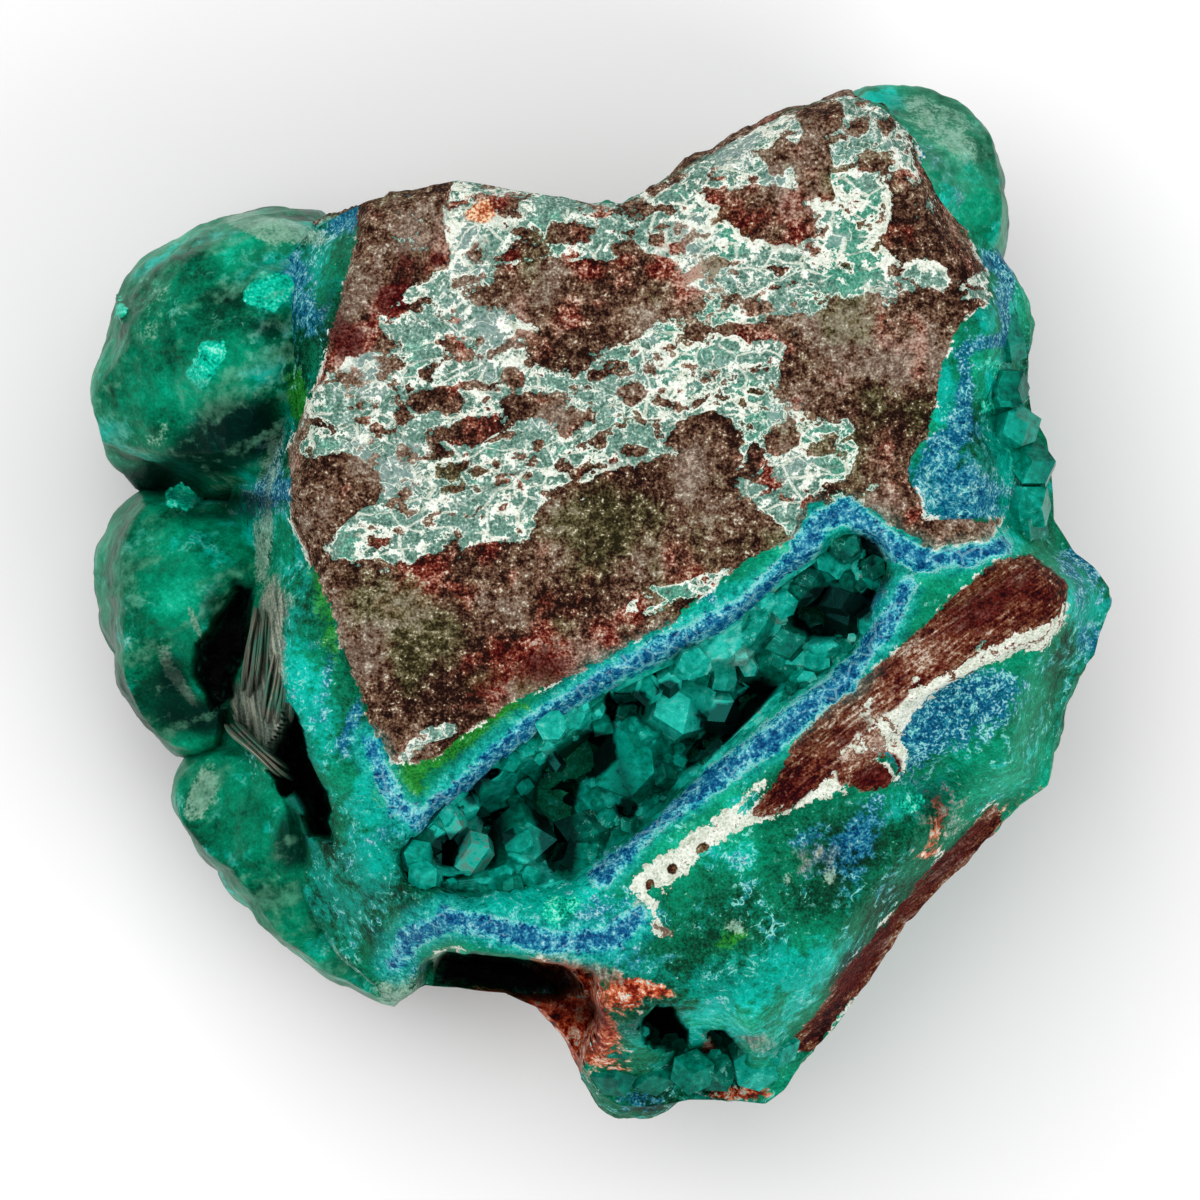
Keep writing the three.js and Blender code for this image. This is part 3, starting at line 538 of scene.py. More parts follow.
rusty = [
    (575, 1012, 68, 30, -60, 1.5), (940, 806, 34, 24, 20, 0.55), (618, 985, 30, 20, -30, 0.7),
    (650, 984, 26, 8, -10, 0.9), (482, 214, 17, 12, 20, 1.2), (712, 1052, 14, 24, 0, 0.8),
    (510, 1000, 60, 10, -8, 1.0), (1020, 800, 40, 10, 30, 0.5), (640, 908, 9, 16, 0, 0.7),
    (735, 1092, 34, 8, 0, 1.0), (925, 845, 26, 14, 40, 0.6),
]
# The edges of the brown stone as they show, which stray a little from those of the raised plates.
shown_plate = face_plate[1:8] + [
    (378, 735), (396, 762), (418, 766), (442, 756), (462, 732), (505, 706), (545, 686), (600, 660),
    (660, 630), (720, 580), (795, 535), (810, 505), (865, 508), (900, 535), (925, 552), (985, 540),
    (1000, 520), (925, 515), (905, 470), (928, 430), (934, 395), (940, 366), (950, 340), (962, 318),
    (985, 306), (988, 280), (978, 262), (950, 205), (918, 162), (906, 110), (885, 70), (800, 85),
    (700, 136), (600, 182), (460, 160), (365, 180),
]
silky = [
    (268, 655, 17, 78, -7, 1.5), (284, 735, 14, 30, -10, 1.2), (246, 700, 16, 24, 0, 1.0),
    (818, 854, 38, 28, 20, 0.55), (936, 815, 44, 26, 30, 0.50), (746, 676, 24, 16, 10, 0.6),
    (756, 1042, 36, 14, -10, 0.6), (600, 968, 40, 12, -25, 0.7),
]
shown_lower_plate = [
    (738, 826), (765, 788), (798, 732), (834, 700), (868, 672), (917, 626), (985, 566), (1030, 552),
    (1066, 585), (1055, 625), (960, 672), (905, 700), (868, 735), (850, 757), (838, 782), (800, 799),
    (765, 812),
]
rim_strip = [
    (990, 800), (1006, 822), (952, 880), (902, 942), (852, 1002), (808, 1054), (790, 1042), (834, 984),
    (882, 922), (935, 860),
]
brown_oval = [
    (845, 768), (853, 759), (868, 756), (884, 762), (893, 775), (883, 787), (862, 790), (848, 782),
]
# The crust's dark gaps: the lining sinks there, and the crystals there are painted near black as shade.
shaded_gaps = [
    (825, 612, 25, 19, 0, 2.8), (733, 718, 60, 10, 44, 2.0), (596, 754, 20, 19, 0, 2.0),
    (557, 790, 17, 34, -8, 2.2), (627, 806, 11, 11, 0, 1.3), (474, 795, 6, 22, 0, 1.1),
    (488, 774, 16, 6, 20, 1.1), (502, 814, 22, 6, 20, 1.2), (450, 848, 19, 16, 0, 1.5),
    (504, 833, 12, 11, 0, 1.4), (562, 850, 17, 32, 10, 1.1), (627, 698, 17, 6, 0, 1.3),
    (611, 707, 6, 18, 0, 1.0), (643, 708, 6, 14, 0, 1.1), (686, 704, 30, 7, -37, 1.3),
    (868, 602, 8, 15, 0, 1.1), (868, 560, 10, 20, 30, 0.7), (665, 690, 14, 5, 0, 0.8),
]
bright_flakes = [
    [(200, 343), (226, 339), (228, 357), (216, 379), (205, 392), (194, 382), (186, 376), (202, 357)],
    [(243, 298), (250, 286), (264, 274), (284, 274), (296, 282), (292, 298), (276, 314), (264, 310),
     (250, 306)],
    [(165, 492), (180, 483), (204, 498), (188, 510), (168, 506)],
    [(121, 298), (129, 310), (124, 324), (116, 316)],
    [(981, 358), (1001, 364), (1005, 380), (996, 390), (988, 376)],
    [(977, 404), (994, 401), (992, 411), (980, 415)],
    [(1000, 437), (1018, 447), (1007, 455)],
    [(548, 894), (583, 894), (576, 908), (555, 929), (541, 911)],
    [(892, 800), (912, 792), (926, 797), (915, 808), (900, 812)],
]
print(sum(len(rows) for rows in (brown_islands, deep_red, blue_stain, dark_and_shaded_places)), "spots so far")

# %% [markdown]
# A closed skin is a cube's grid with its points put where a shape function says: the top is
# squares across a disc, the sides are rings, and the bottom closes it. Squares bunch up less
# on it than rings of a globe would at the poles.
# %% Closed skins and meshes
def disc_grid(n):
    """Points of an n by n square turned into a disc: share of the half width, and direction."""
    line = np.linspace(-1, 1, n + 1)
    x, y = (a.ravel() for a in np.meshgrid(line, line))
    share = np.maximum(abs(x), abs(y))
    wide = abs(x) >= abs(y)
    safe_x, safe_y = np.where(x == 0, 1, x), np.where(y == 0, 1, y)
    flat = math.pi / 4 * y / safe_x + np.where(x < 0, math.pi, 0)
    steep = math.pi / 2 - math.pi / 4 * x / safe_y + np.where(y < 0, math.pi, 0)
    return share, np.where(share > 1e-9, np.where(wide, flat, steep), 0.0)


def grid_faces(rows, columns):
    """The squares of a grid of points, and the numbers of its rim points in order, anticlockwise."""
    number = np.arange(rows * columns).reshape(rows, columns)
    corners = [number[:-1, :-1], number[:-1, 1:], number[1:, 1:], number[1:, :-1]]
    rim = np.concatenate([number[0, :-1], number[:-1, -1], number[-1, :0:-1], number[:0:-1, 0]])
    return np.stack(corners, axis=-1).reshape(-1, 4), rim


def ring_faces(first, second):
    """Squares between two rings of points, which face outwards when first lies over second."""
    return np.stack([first, second, np.roll(second, -1), np.roll(first, -1)], axis=-1)


def make_piece(name, points, faces, attributes=None, smooth=True, flat_from=None):
    """A mesh object from points in mm and faces, with one number or vector a point for each attribute."""
    mesh = bpy.data.meshes.new(name)
    blocks = faces if isinstance(faces, list) else [faces]
    rows = [row for block in blocks for row in block.tolist()]
    mesh.from_pydata((np.asarray(points) * mm).tolist(), [], rows)
    shading = np.full(len(mesh.polygons), smooth)
    if flat_from is not None:
        shading[flat_from:] = False
    mesh.polygons.foreach_set("use_smooth", shading)
    for key, values in (attributes or {}).items():
        values = np.asarray(values, np.float32)
        kind, field = ("FLOAT", "value") if values.ndim == 1 else ("FLOAT_VECTOR", "vector")
        mesh.attributes.new(key, kind, "POINT").data.foreach_set(field, values.ravel())
    mesh.validate()
    piece = bpy.data.objects.new(name, mesh)
    bpy.context.scene.collection.objects.link(piece)
    triangles = sum(len(p.vertices) - 2 for p in mesh.polygons)
    print(f"{name}: {len(points)} points, {triangles} triangles")
    return piece


# %% [markdown]
# The rock is one closed skin. Its top follows the height rules of the solids, and gets what they
# leave out: bubbly mineral crusts, beads along the blue bands, grain on the brown plates.
# %% The rock's surface
def outline_heights(x, y, direction, from_edge):
    """The plain height rule: plates a step up, broad swellings, lumps off the plates, a rolled edge."""
    u, v = photo_place(x, y)
    on_plate = inside_any(u, v, (face_plate, lower_plate))
    step = plate_step * smoothstep(on_plate, -0.4, 0.4)
    lumps = 0.7 * noise(x * 0.3, y * 0.3, 3.5) * (1 - smoothstep(on_plate, -1.5, 0.5))
    swelling = np.zeros(x.shape)
    for sx, sy, reach, height in swellings:
        swelling += height * (1 - np.minimum(np.hypot(u - sx, v - sy) / reach, 1) ** 2) ** 2
    width = around(roll_off, 2, direction)
    rolled = around(roll_off, 1, direction) * (1 - smoothstep(from_edge, 0, width)) ** 1.4
    return face_height - plate_step + step + lumps + swelling - rolled


def hollow_section(u, v):
    """Distance from the hollow's middle line as a share of its half width, and its depth there in mm."""
    share = np.full(u.shape, np.inf)
    depth = np.zeros(u.shape)
    for (ax, ay, aw, ad), (bx, by, bw, bd) in zip(hollow_path, hollow_path[1:]):
        dx, dy = bx - ax, by - ay
        t = np.clip(((u - ax) * dx + (v - ay) * dy) / (dx * dx + dy * dy), 0, 1)
        half = aw + t * (bw - aw) + gap / pixel
        here = np.hypot(u - ax - t * dx, v - ay - t * dy) / half
        nearer = here < share
        share = np.where(nearer, here, share)
        depth = np.where(nearer, ad + t * (bd - ad) + gap, depth)
    return share, depth


def band_distance(u, v):
    """Distance in mm from the nearest blue band's edge, negative inside it."""
    return np.min([line_distance(u, v, band) for band in blue_bands], axis=0)


def vein_distance(u, v):
    """Distance in mm from the white vein's edge, negative inside it."""
    return np.min([line_distance(u, v, path) for path in all_veins], axis=0)


def face_relief(x, y, height):
    """The fine height on the face: bubbly rinds, a beaded band, grainy plates, a proud vein."""
    u, v = photo_place(x, y)
    on_plate = inside_any(u, v, (face_plate, lower_plate))
    rind = 1 - smoothstep(on_plate, -0.3, 0.2)
    band = 1 - smoothstep(band_distance(u, v), -0.3, 0.15)
    vein = 1 - smoothstep(vein_distance(u, v), -0.25, 0.1)
    crust = 0.55 * bubbles(x, y, height * 0.3, 2.6) + 0.3 * bubbles(x, y, height * 0.3, 1.1, 5) - 0.5
    beads = 0.35 * bubbles(x, y, 0, 0.85, 9)
    grain = 0.14 * rough(x, y, 0, 1.4)
    return rind * (crust + 0.12 * rough(x, y, 0, 0.9)) + (1 - rind) * grain + band * beads + 0.22 * vein


def ragged(u, v, reach=0.42):
    """Photograph places moved by noise of some mm, so that an outline's straight sides come out ragged."""
    x, y = u * pixel, v * pixel
    return u + rough(x, y, 2.0, 2.4, 3) * reach / pixel, v + rough(x, y, 8.0, 2.4, 3) * reach / pixel


def sink_hollows(u, v, x, y, z):
    """The height with the cut hollows sunk into it, each to its rough floor."""
    ragged_u, ragged_v = ragged(u, v)
    for floor_height, outline in hollows_to_floor.values():
        inside = smoothstep(inside_distance(ragged_u, ragged_v, outline), -0.15, 0.25)
        bottom = floor_height + 0.8 * rough(x, y, 0, 2.5)
        z = z + inside * (np.minimum(z, bottom) - z)
    return z


def rock_face(x, y, direction, from_edge):
    """The face's height in mm, with the diagonal hollow and the cut hollows sunk into it."""
    u, v = photo_place(x, y)
    z = outline_heights(x, y, direction, from_edge)
    z = z + face_relief(x, y, z) * smoothstep(from_edge, 0, 0.6)
    share, depth = hollow_section(u, v)
    lip = 1.5 * (1 - smoothstep(share, 0.95, 1.3))
    under = crust_top - 1 - depth * np.clip(1 - share ** 2, 0, 1) ** 0.35
    z = np.where(share < 1, np.minimum(z - lip, under - 0.4), z - lip)
    return sink_hollows(u, v, x, y, z)


def behind_broken_faces(x, y, z, rows, cx, cy):
    """Points proud of a slanted plane are moved level, straight inwards, onto it."""
    for direction, height, under in broken_faces:
        turn, slope = math.radians(direction), math.radians(under)
        radius = around(rows, 1, direction)
        outward = (x - cx) * math.cos(turn) + (y - cy) * math.sin(turn) - radius
        proud = np.maximum(outward - math.tan(slope) * (z - height), 0)
        x, y = x - proud * math.cos(turn), y - proud * math.sin(turn)
    return x, y


rock_squares, rock_rings = 204, 56
rock_rows = polar(rock_outline, rock_centre)
rock_x, rock_y = place(*rock_centre)
share, angle = disc_grid(rock_squares)
degrees = np.degrees(angle)
radius = around(rock_rows, 1, degrees)
top_x = rock_x + share * radius * np.cos(angle)
top_y = rock_y + share * radius * np.sin(angle)
top_z = rock_face(top_x, top_y, degrees, (1 - share) * radius)
top_faces, rim = grid_faces(rock_squares + 1, rock_squares + 1)
print("the face lies between", top_z.min().round(1), "and", top_z.max().round(1), "mm")

# %% [markdown]
# The sides run from the face's rim down to the flat back. They bulge and step by ledge noise, the
# slanted breaks cut them under, and bubbly crusts stand on them as they do on the face.
# %% The rock's sides and back
rim_x, rim_y, rim_z, rim_angle = top_x[rim], top_y[rim], top_z[rim], angle[rim]
side_down = np.linspace(0, 1, rock_rings + 1)[1:, None] ** 0.9 * (rim_z / (rim_z + spare))[None, :]
side_z = rim_z + side_down * (-spare - rim_z)
side_rough = np.sin(np.pi * side_down) * (2.4 * ledges(rim_x * 0.11, rim_y * 0.11, side_z * 0.15) - 1)
side_x, side_y = rim_x + side_rough * np.cos(rim_angle), rim_y + side_rough * np.sin(rim_angle)
side_x, side_y = behind_broken_faces(side_x, side_y, side_z, rock_rows, rock_x, rock_y)
side_places = (side_x, side_y, side_z)
crust_share = smoothstep(rough(*side_places, 9, 2), -0.15, 0.35)
side_bumps = 0.5 * bubbles(*side_places, 2.4, 3) + 0.25 * bubbles(*side_places, 1.0, 4) - 0.3
side_grain = 0.5 * ledges(side_x * 0.5, side_y * 0.5, side_z * 0.7) + 0.25 * rough(*side_places, 1.6)
side_out = (crust_share * side_bumps + (1 - crust_share) * side_grain) * smoothstep(side_z, 0, 1.5)
side_out *= smoothstep(side_down, 0, 0.06)
side_x, side_y = side_x + side_out * np.cos(rim_angle), side_y + side_out * np.sin(rim_angle)

rock_points = np.concatenate([
    np.stack([top_x, top_y, top_z], axis=1),
    np.stack([side_x, side_y, side_z], axis=-1).reshape(-1, 3),
    [[side_x[-1].mean(), side_y[-1].mean(), 0.0]],
])
top_count, ring_size = len(top_x), len(rim)
rings = [rim] + [top_count + ring_size * k + np.arange(ring_size) for k in range(rock_rings)]
back = np.full(ring_size, len(rock_points) - 1)
side_faces = np.concatenate([ring_faces(upper, lower) for upper, lower in zip(rings, rings[1:])])
back_faces = np.stack([rings[-1], back, np.roll(rings[-1], -1)], axis=-1)
rock_u, rock_v = photo_place(rock_points[:, 0], rock_points[:, 1])
is_side = np.concatenate([np.zeros(top_count), smoothstep(rim_z - side_z, 1.5, 4.0).ravel(), [1]])


def isle_distance(u, v):
    """Distance in mm into the brown stone, negative in the grey-green filling between its islands."""
    u, v = ragged(u, v, 0.65)
    deepest = -inside_distance(u, v, filled_zone)
    for x, y, long, short, turn in brown_islands:
        c, s = math.cos(math.radians(turn)), math.sin(math.radians(turn))
        share = np.hypot(((u - x) * c - (v - y) * s) / long, ((u - x) * s + (v - y) * c) / short)
        deepest = np.maximum(deepest, (1 - share) * short * pixel)
    return np.clip(deepest, -1.5, 0.7) - 1.6 * spots(u, v, lower_lace)


side_stray = 90  # pixels
vein_floor = 24  # mm


def mineral_attributes(x, y, z, low=0.0):
    """What shows at each place, as the patch lists above say, with edges broken up by noise.
    low is 1 far down the sides, where the patches stray instead of running straight down."""
    u, v = photo_place(x, y)
    u = u + side_stray * low * rough(x, y, z + 90, 5.0, 2)
    v = v + side_stray * low * rough(x + 30, y, z + 90, 5.0, 2)
    uneven = rough(x, y, z, 2.4, 3)
    uneven_too = rough(x + 50, y, z, 1.5, 2)
    upper = inside_distance(u, v, shown_plate)
    lower = inside_any(u, v, (shown_lower_plate, brown_oval, rim_strip))
    blue = spots(u, v, blue_stain)
    rust = spots(u, v, rusty)
    below_veins = smoothstep(vein_floor - z, 0, 2)
    return {
        "plate": np.maximum(upper, lower) + 0.22 * uneven,
        "lower": smoothstep(lower, -0.6, 0.0),
        "isle": isle_distance(u, v) + 0.20 * uneven_too,
        "chalk": spots(u, v, thick_white),
        "silky": spots(u, v, silky) + 0.2 * uneven_too,
        "red": spots(u, v, deep_red) + 0.3 * uneven_too,
        "olive": spots(u, v, olive) + 0.3 * uneven,
        "blue": blue + 0.28 * uneven * np.minimum(0.4 + 2 * blue, 1),
        "grass": spots(u, v, grass_green) + 0.1 * uneven,
        "bright": spots(u, v, bright_teal) + 0.25 * uneven_too,
        # dark places: partly dark mineral, partly painted shade
        "dark": spots(u, v, dark_and_shaded_places) + 0.2 * uneven,
        "pale": spots(u, v, pale_places) + 0.25 * uneven_too,
        "rust": rust + 0.3 * uneven * np.minimum(2 * rust, 1),
        # the crust's gaps, painted black as shade by the crystals' finish
        "hole": spots(u, v, shaded_gaps) + 0.1 * uneven_too,
        "band": band_distance(u, v) + 0.10 * uneven_too,
        "vein": vein_distance(u, v) + 0.16 * uneven_too + 0.10 * uneven + 3 * below_veins,
        "flake": inside_any(u, v, bright_flakes),
        "cloud": 0.5 + 0.32 * rough(x, y, z + 20, 3.6, 3),
        "mottle": 0.5 + 0.36 * rough(x, y, z + 40, 1.7, 2),
        "drift": 0.5 + 0.34 * rough(x, y, z + 70, 2.8, 3),
    }


# The cut hollows, without the open ledge, are painted near black as shade; this says where.
def sunk(u, v):
    """How far inside a cut hollow a place is, as a share: 1 in its middle, 0 outside."""
    u, v = ragged(u, v)
    dark = [outline for name, (_, outline) in hollows_to_floor.items() if name != "ledge"]
    return np.max([smoothstep(inside_distance(u, v, outline), -0.1, 0.5) for outline in dark], axis=0)


def cell_places(x, y, long, short, bend):
    """Places counted in face cells of long by short mm, turned 6 degrees and bent by noise."""
    turn = math.radians(6)
    along, across = x * math.cos(turn) + y * math.sin(turn), y * math.cos(turn) - x * math.sin(turn)
    along = along + bend * rough(x, y, 5.0, 2.2, 3)
    across = across + bend * rough(x, y, 15.0, 2.2, 3)
    return np.stack([along / long, across / short, 0 * x], axis=1)


rock = make_piece("matrix_rock", rock_points, [top_faces, side_faces, back_faces], {
    **mineral_attributes(*rock_points.T, is_side),
    "cells": np.where((band_distance(rock_u, rock_v) < 0.35)[:, None],
                      cell_places(rock_points[:, 0], rock_points[:, 1], 0.95, 0.8, 0.25),
                      cell_places(rock_points[:, 0], rock_points[:, 1], 2.0, 1.2, 0.45)),
    "bare": rough(*rock_points.T, 9, 3),
    "side": is_side,
    "sunk": sunk(rock_u, rock_v),
})
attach(rock, "root")
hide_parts("matrix")

# %% [markdown]
# Four big rounded bodies of massive green mineral sit at the left side and the upper right corner.
# Each starts as the round skin of its solid, grown a little so that it meets the rock, and is then
# cut by a few planes, because this mineral breaks along flat faces where it isn't weathered round.
# %% The rounded green bodies
# Middle, its height in mm, how far the body rises over it and goes under it, and the outline.
lobes = {
    "lobe_upper_left": ((215, 355), 14, 11, 10, [
        (352, 320), (350, 262), (316, 216), (250, 214), (215, 228), (180, 245), (150, 265), (125, 300),
        (112, 340), (97, 375), (93, 400), (100, 430), (107, 455), (125, 472), (142, 487), (200, 500),
        (290, 496), (330, 440), (350, 380)]),
    "lobe_middle_left": ((172, 612), 12, 9.5, 8.5, [
        (290, 572), (296, 520), (200, 502), (144, 494), (125, 515), (108, 545), (103, 575), (107, 610),
        (118, 650), (130, 690), (145, 716), (175, 745), (214, 744), (224, 712), (232, 680), (236, 640),
        (254, 592)]),
    "lobe_lower_left": ((285, 860), 11, 9, 8, [
        (400, 880), (350, 838), (306, 790), (268, 752), (244, 742), (216, 750), (195, 765), (183, 790),
        (185, 815), (200, 840), (225, 870), (250, 905), (270, 930), (300, 955), (345, 980), (390, 1002),
        (412, 985), (416, 930)]),
    "lobe_upper_right": ((942, 180), 17, 10.5, 10, [
        (1000, 225), (998, 190), (990, 155), (970, 125), (940, 105), (900, 94), (868, 94), (850, 104),
        (868, 124), (880, 160), (890, 205), (915, 250), (955, 272), (988, 262)]),
}
# Flat breaks of each body: direction, tilt above level, and distance from its middle in mm.
lobe_breaks = {
    "lobe_upper_left": [(150, 50, 9.6), (215, 46, 8.8), (95, 58, 9.8), (250, 20, 8.2)],
    "lobe_middle_left": [(262, 58, 7.6), (205, 62, 8.2), (160, 66, 8.6), (120, 52, 8.4)],
    "lobe_lower_left": [(165, 52, 7.4), (205, 60, 7.6), (245, 56, 7.4), (300, 62, 7.8)],
    "lobe_upper_right": [(40, 40, 5.2), (355, 48, 6.6), (75, 30, 4.6), (20, 66, 9.0)],
}


def lobe_skin(name, n, m):
    """Points of a round body: caps of n by n squares above and below, joined by rings down its sides."""
    centre, level, rise, depth, outline = lobes[name]
    rows = polar(outline, centre)
    cx, cy = place(*centre)
    cap_angle = 0.95
    share, angle = disc_grid(n)
    faces, rim = grid_faces(n + 1, n + 1)
    down = np.linspace(1, -1, m + 1)[1:-1]
    ring_tilt = cap_angle + (1 - abs(down)) * (math.pi / 2 - cap_angle)
    tilt = np.concatenate([share * cap_angle, np.repeat(ring_tilt, len(rim)), share * cap_angle])
    side_lean = np.repeat(np.where(down > 0, 1, -1), len(rim))
    lean = np.concatenate([np.ones(len(share)), side_lean, -np.ones(len(share))])
    turn = np.concatenate([angle, np.tile(angle[rim], m - 1), angle])
    across = (around(rows, 1, np.degrees(turn)) + gap) * np.sin(tilt) ** 0.8
    x, y = cx + across * np.cos(turn), cy + across * np.sin(turn)
    reach = np.where(lean > 0, rise, depth) + gap
    lumps = 1.1 * noise(x * 0.22, y * 0.22, 7.5 + lean) * np.cos(tilt)
    z = level + lean * (reach * np.cos(tilt) ** 0.85 + lumps)
    points = np.stack([x, y, z], axis=1)
    level_part = np.sin(tilt)
    outward = np.stack([np.cos(turn) * level_part, np.sin(turn) * level_part, lean * np.cos(tilt)], axis=1)
    first = len(share)
    rings = [rim] + [first + len(rim) * k + np.arange(len(rim)) for k in range(m - 1)]
    last = first + len(rim) * (m - 1)
    rings.append(rim + last)
    sides = np.concatenate([ring_faces(upper, lower) for upper, lower in zip(rings, rings[1:])])
    return points, outward, np.concatenate([faces, sides, faces[:, ::-1] + last])


def cut_flat(points, middle, breaks):
    """Points proud of a plane are pushed back onto it, plane after plane: direction, tilt, distance."""
    for direction, tilt, distance in breaks:
        turn, up = math.radians(direction), math.radians(tilt)
        normal = np.array([math.cos(turn) * math.cos(up), math.sin(turn) * math.cos(up), math.sin(up)])
        proud = np.maximum((points - middle) @ normal - distance, 0)
        points = points - proud[:, None] * normal
    return points


def make_lobe(name):
    """A round body cut by its breaks, with shallow swellings and a fine waxy roughness."""
    points, outward, faces = lobe_skin(name, 72, 44)
    (px, py), level, *_ = lobes[name]
    points = cut_flat(points, np.array([*place(px, py), level]), lobe_breaks[name])
    u, v = photo_place(points[:, 0], points[:, 1])
    points[:, 2] = sink_hollows(u, v, points[:, 0], points[:, 1], points[:, 2])
    x, y, z = points.T
    relief = 0.45 * rough(x, y, z, 5, 3) + 0.16 * ledges(x * 0.35, y * 0.35, z * 0.35)
    relief = relief + 0.05 * rough(x, y, z, 0.8, 2)
    raised = smoothstep(inside_any(u, v, bright_flakes), -0.1, 0.15)
    points = points + (relief + 0.35 * raised * (outward[:, 2] > 0))[:, None] * outward
    x, y, z = points.T
    u, v = photo_place(x, y)
    veil_turn = math.radians(28)
    along = x * math.cos(veil_turn) + y * math.sin(veil_turn)
    across = y * math.cos(veil_turn) - x * math.sin(veil_turn)
    shown = mineral_attributes(*points.T)
    # Painted shade: each body is painted darker lower down, towards its underside.
    shown["dark"] = shown["dark"] + 0.9 * smoothstep(z, level + 5, level - 4)
    piece = make_piece(name + "_body", points, faces, {
        **shown,
        "veil": 0.5 + 0.5 * rough(along / 5, across / 1.3, z / 3, 1.0, 3),
        "sunk": sunk(u, v),
    })
    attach(piece, "root")
    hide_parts(name)
    return piece


lobe_pieces = [make_lobe(name) for name in lobes]

# %% [markdown]
# A dioptase crystal is a six-sided prism closed by three sloping diamond faces. One is worked out
# as 13 points, and all the crystals of a crust are made at once by turning and moving that one
# with whole arrays. They keep flat shading, because crystal faces are flat.
# %% Crystals
rng = np.random.default_rng(7)
crystal_slope = 0.72
unit_turns = np.arange(6) * math.pi / 3
unit_drop = crystal_slope * np.where(np.arange(6) % 2 == 0, 1.0, 0.5)
tip_faces = [(0, 6, 1, 2), (0, 2, 3, 4), (0, 4, 5, 6)]
wall_faces = [(1 + i, 7 + i, 7 + (i + 1) % 6, 1 + (i + 1) % 6) for i in range(6)]


def crystals(feet, radius, length, towards, lean, twist):
    """Points and faces of many crystals: the unit prism scaled, twisted, leant and moved, one row each."""
    count = len(feet)
    turns = unit_turns[None, :] + twist[:, None]
    ring_x, ring_y = radius[:, None] * np.cos(turns), radius[:, None] * np.sin(turns)
    x = np.concatenate([np.zeros((count, 1)), ring_x, ring_x], axis=1)
    y = np.concatenate([np.zeros((count, 1)), ring_y, ring_y], axis=1)
    shoulders = length[:, None] - radius[:, None] * unit_drop[None, :]
    z = np.concatenate([length[:, None], shoulders, np.zeros((count, 6))], axis=1)
    tilt, way = np.radians(lean)[:, None], np.radians(towards)[:, None]
    along = x * np.cos(way) + y * np.sin(way)
    across = -x * np.sin(way) + y * np.cos(way)
    leant_along, leant_z = along * np.cos(tilt) + z * np.sin(tilt), z * np.cos(tilt) - along * np.sin(tilt)
    leant_x = leant_along * np.cos(way) - across * np.sin(way)
    leant_y = leant_along * np.sin(way) + across * np.cos(way)
    points = np.stack([leant_x, leant_y, leant_z], axis=-1) + np.asarray(feet)[:, None, :]
    starts = 13 * np.arange(count)[:, None, None]
    quads = (starts + np.array(tip_faces + wall_faces)[None]).reshape(-1, 4)
    ends = (starts[:, 0] + np.arange(12, 6, -1)[None]).reshape(-1, 6)
    return points.reshape(-1, 3), [quads, ends]


def crystal_tones(count):
    """A random number for each crystal, the same at its 13 points."""
    return np.repeat(rng.random(count // 13), 13)


def joined(parts):
    """Points and face blocks of several shapes as one: each shape's numbers are moved past the last."""
    points, blocks, start = [], [], 0
    for shape_points, shape_blocks in parts:
        blocks += [block + start for block in shape_blocks]
        points.append(shape_points)
        start += len(shape_points)
    return np.concatenate(points), blocks


# %% [markdown]
# The hollow is lined with a crust: a thin sheet of tiny crystals, with bigger ones standing on it.
# The sheet is a half round trough carried along the hollow's line, given a thickness by a second
# sheet under it. Where the photograph shows black gaps between the crystals, it sinks.
# %% The hollow's lining
def along_hollow(t):
    """A smooth curve through the hollow's stations: the blend of four neighbours at each place."""
    stations = np.array(lining_path, float)
    stations = np.concatenate([[2 * stations[0] - stations[1]], stations, [2 * stations[-1] - stations[-2]]])
    i = np.minimum(t.astype(int), len(lining_path) - 2)
    f = (t - i)[:, None]
    p0, p1, p2, p3 = (stations[i + k] for k in range(4))
    return 0.5 * (2 * p1 + (p2 - p0) * f + (2 * p0 - 5 * p1 + 4 * p2 - p3) * f ** 2
                  + (3 * p1 - p0 - 3 * p2 + p3) * f ** 3)


def lining(grow, deeper, long_steps=220, arc_steps=84):
    """The trough as a grid: half rings carried along the line, wider by grow and deeper, in mm."""
    t = np.linspace(0, len(lining_path) - 1.0001, long_steps + 1)
    rows = along_hollow(t)
    slope = np.gradient(rows[:, :2], axis=0)
    slope /= np.linalg.norm(slope, axis=1, keepdims=True)
    ends = np.clip(1 - (2 * t / t[-1] - 1) ** 8, 0, 1)[:, None] ** 0.5
    half = (rows[:, 2:3] * pixel + grow) * (0.3 + 0.7 * ends)
    depth = (rows[:, 3:4] + deeper) * (0.3 + 0.7 * ends)
    arc = np.linspace(-0.07, 1.07, arc_steps + 1)[None, :] * math.pi
    over = np.clip(np.abs(arc / math.pi - 0.5) - 0.5, 0, None) * math.pi
    across = half * (np.cos(np.clip(arc, 0, math.pi)) + np.sign(np.cos(arc)) * over * 0.9)
    sink = depth * np.sin(np.clip(arc, 0, math.pi)) ** 0.7
    centre_x, centre_y = place(rows[:, 0:1], rows[:, 1:2])
    x = centre_x + across * slope[:, 1:2]
    y = centre_y + across * slope[:, 0:1]
    z = crust_top - 0.4 - sink + over * 2.6
    return x, y, z, np.broadcast_to(arc, x.shape)


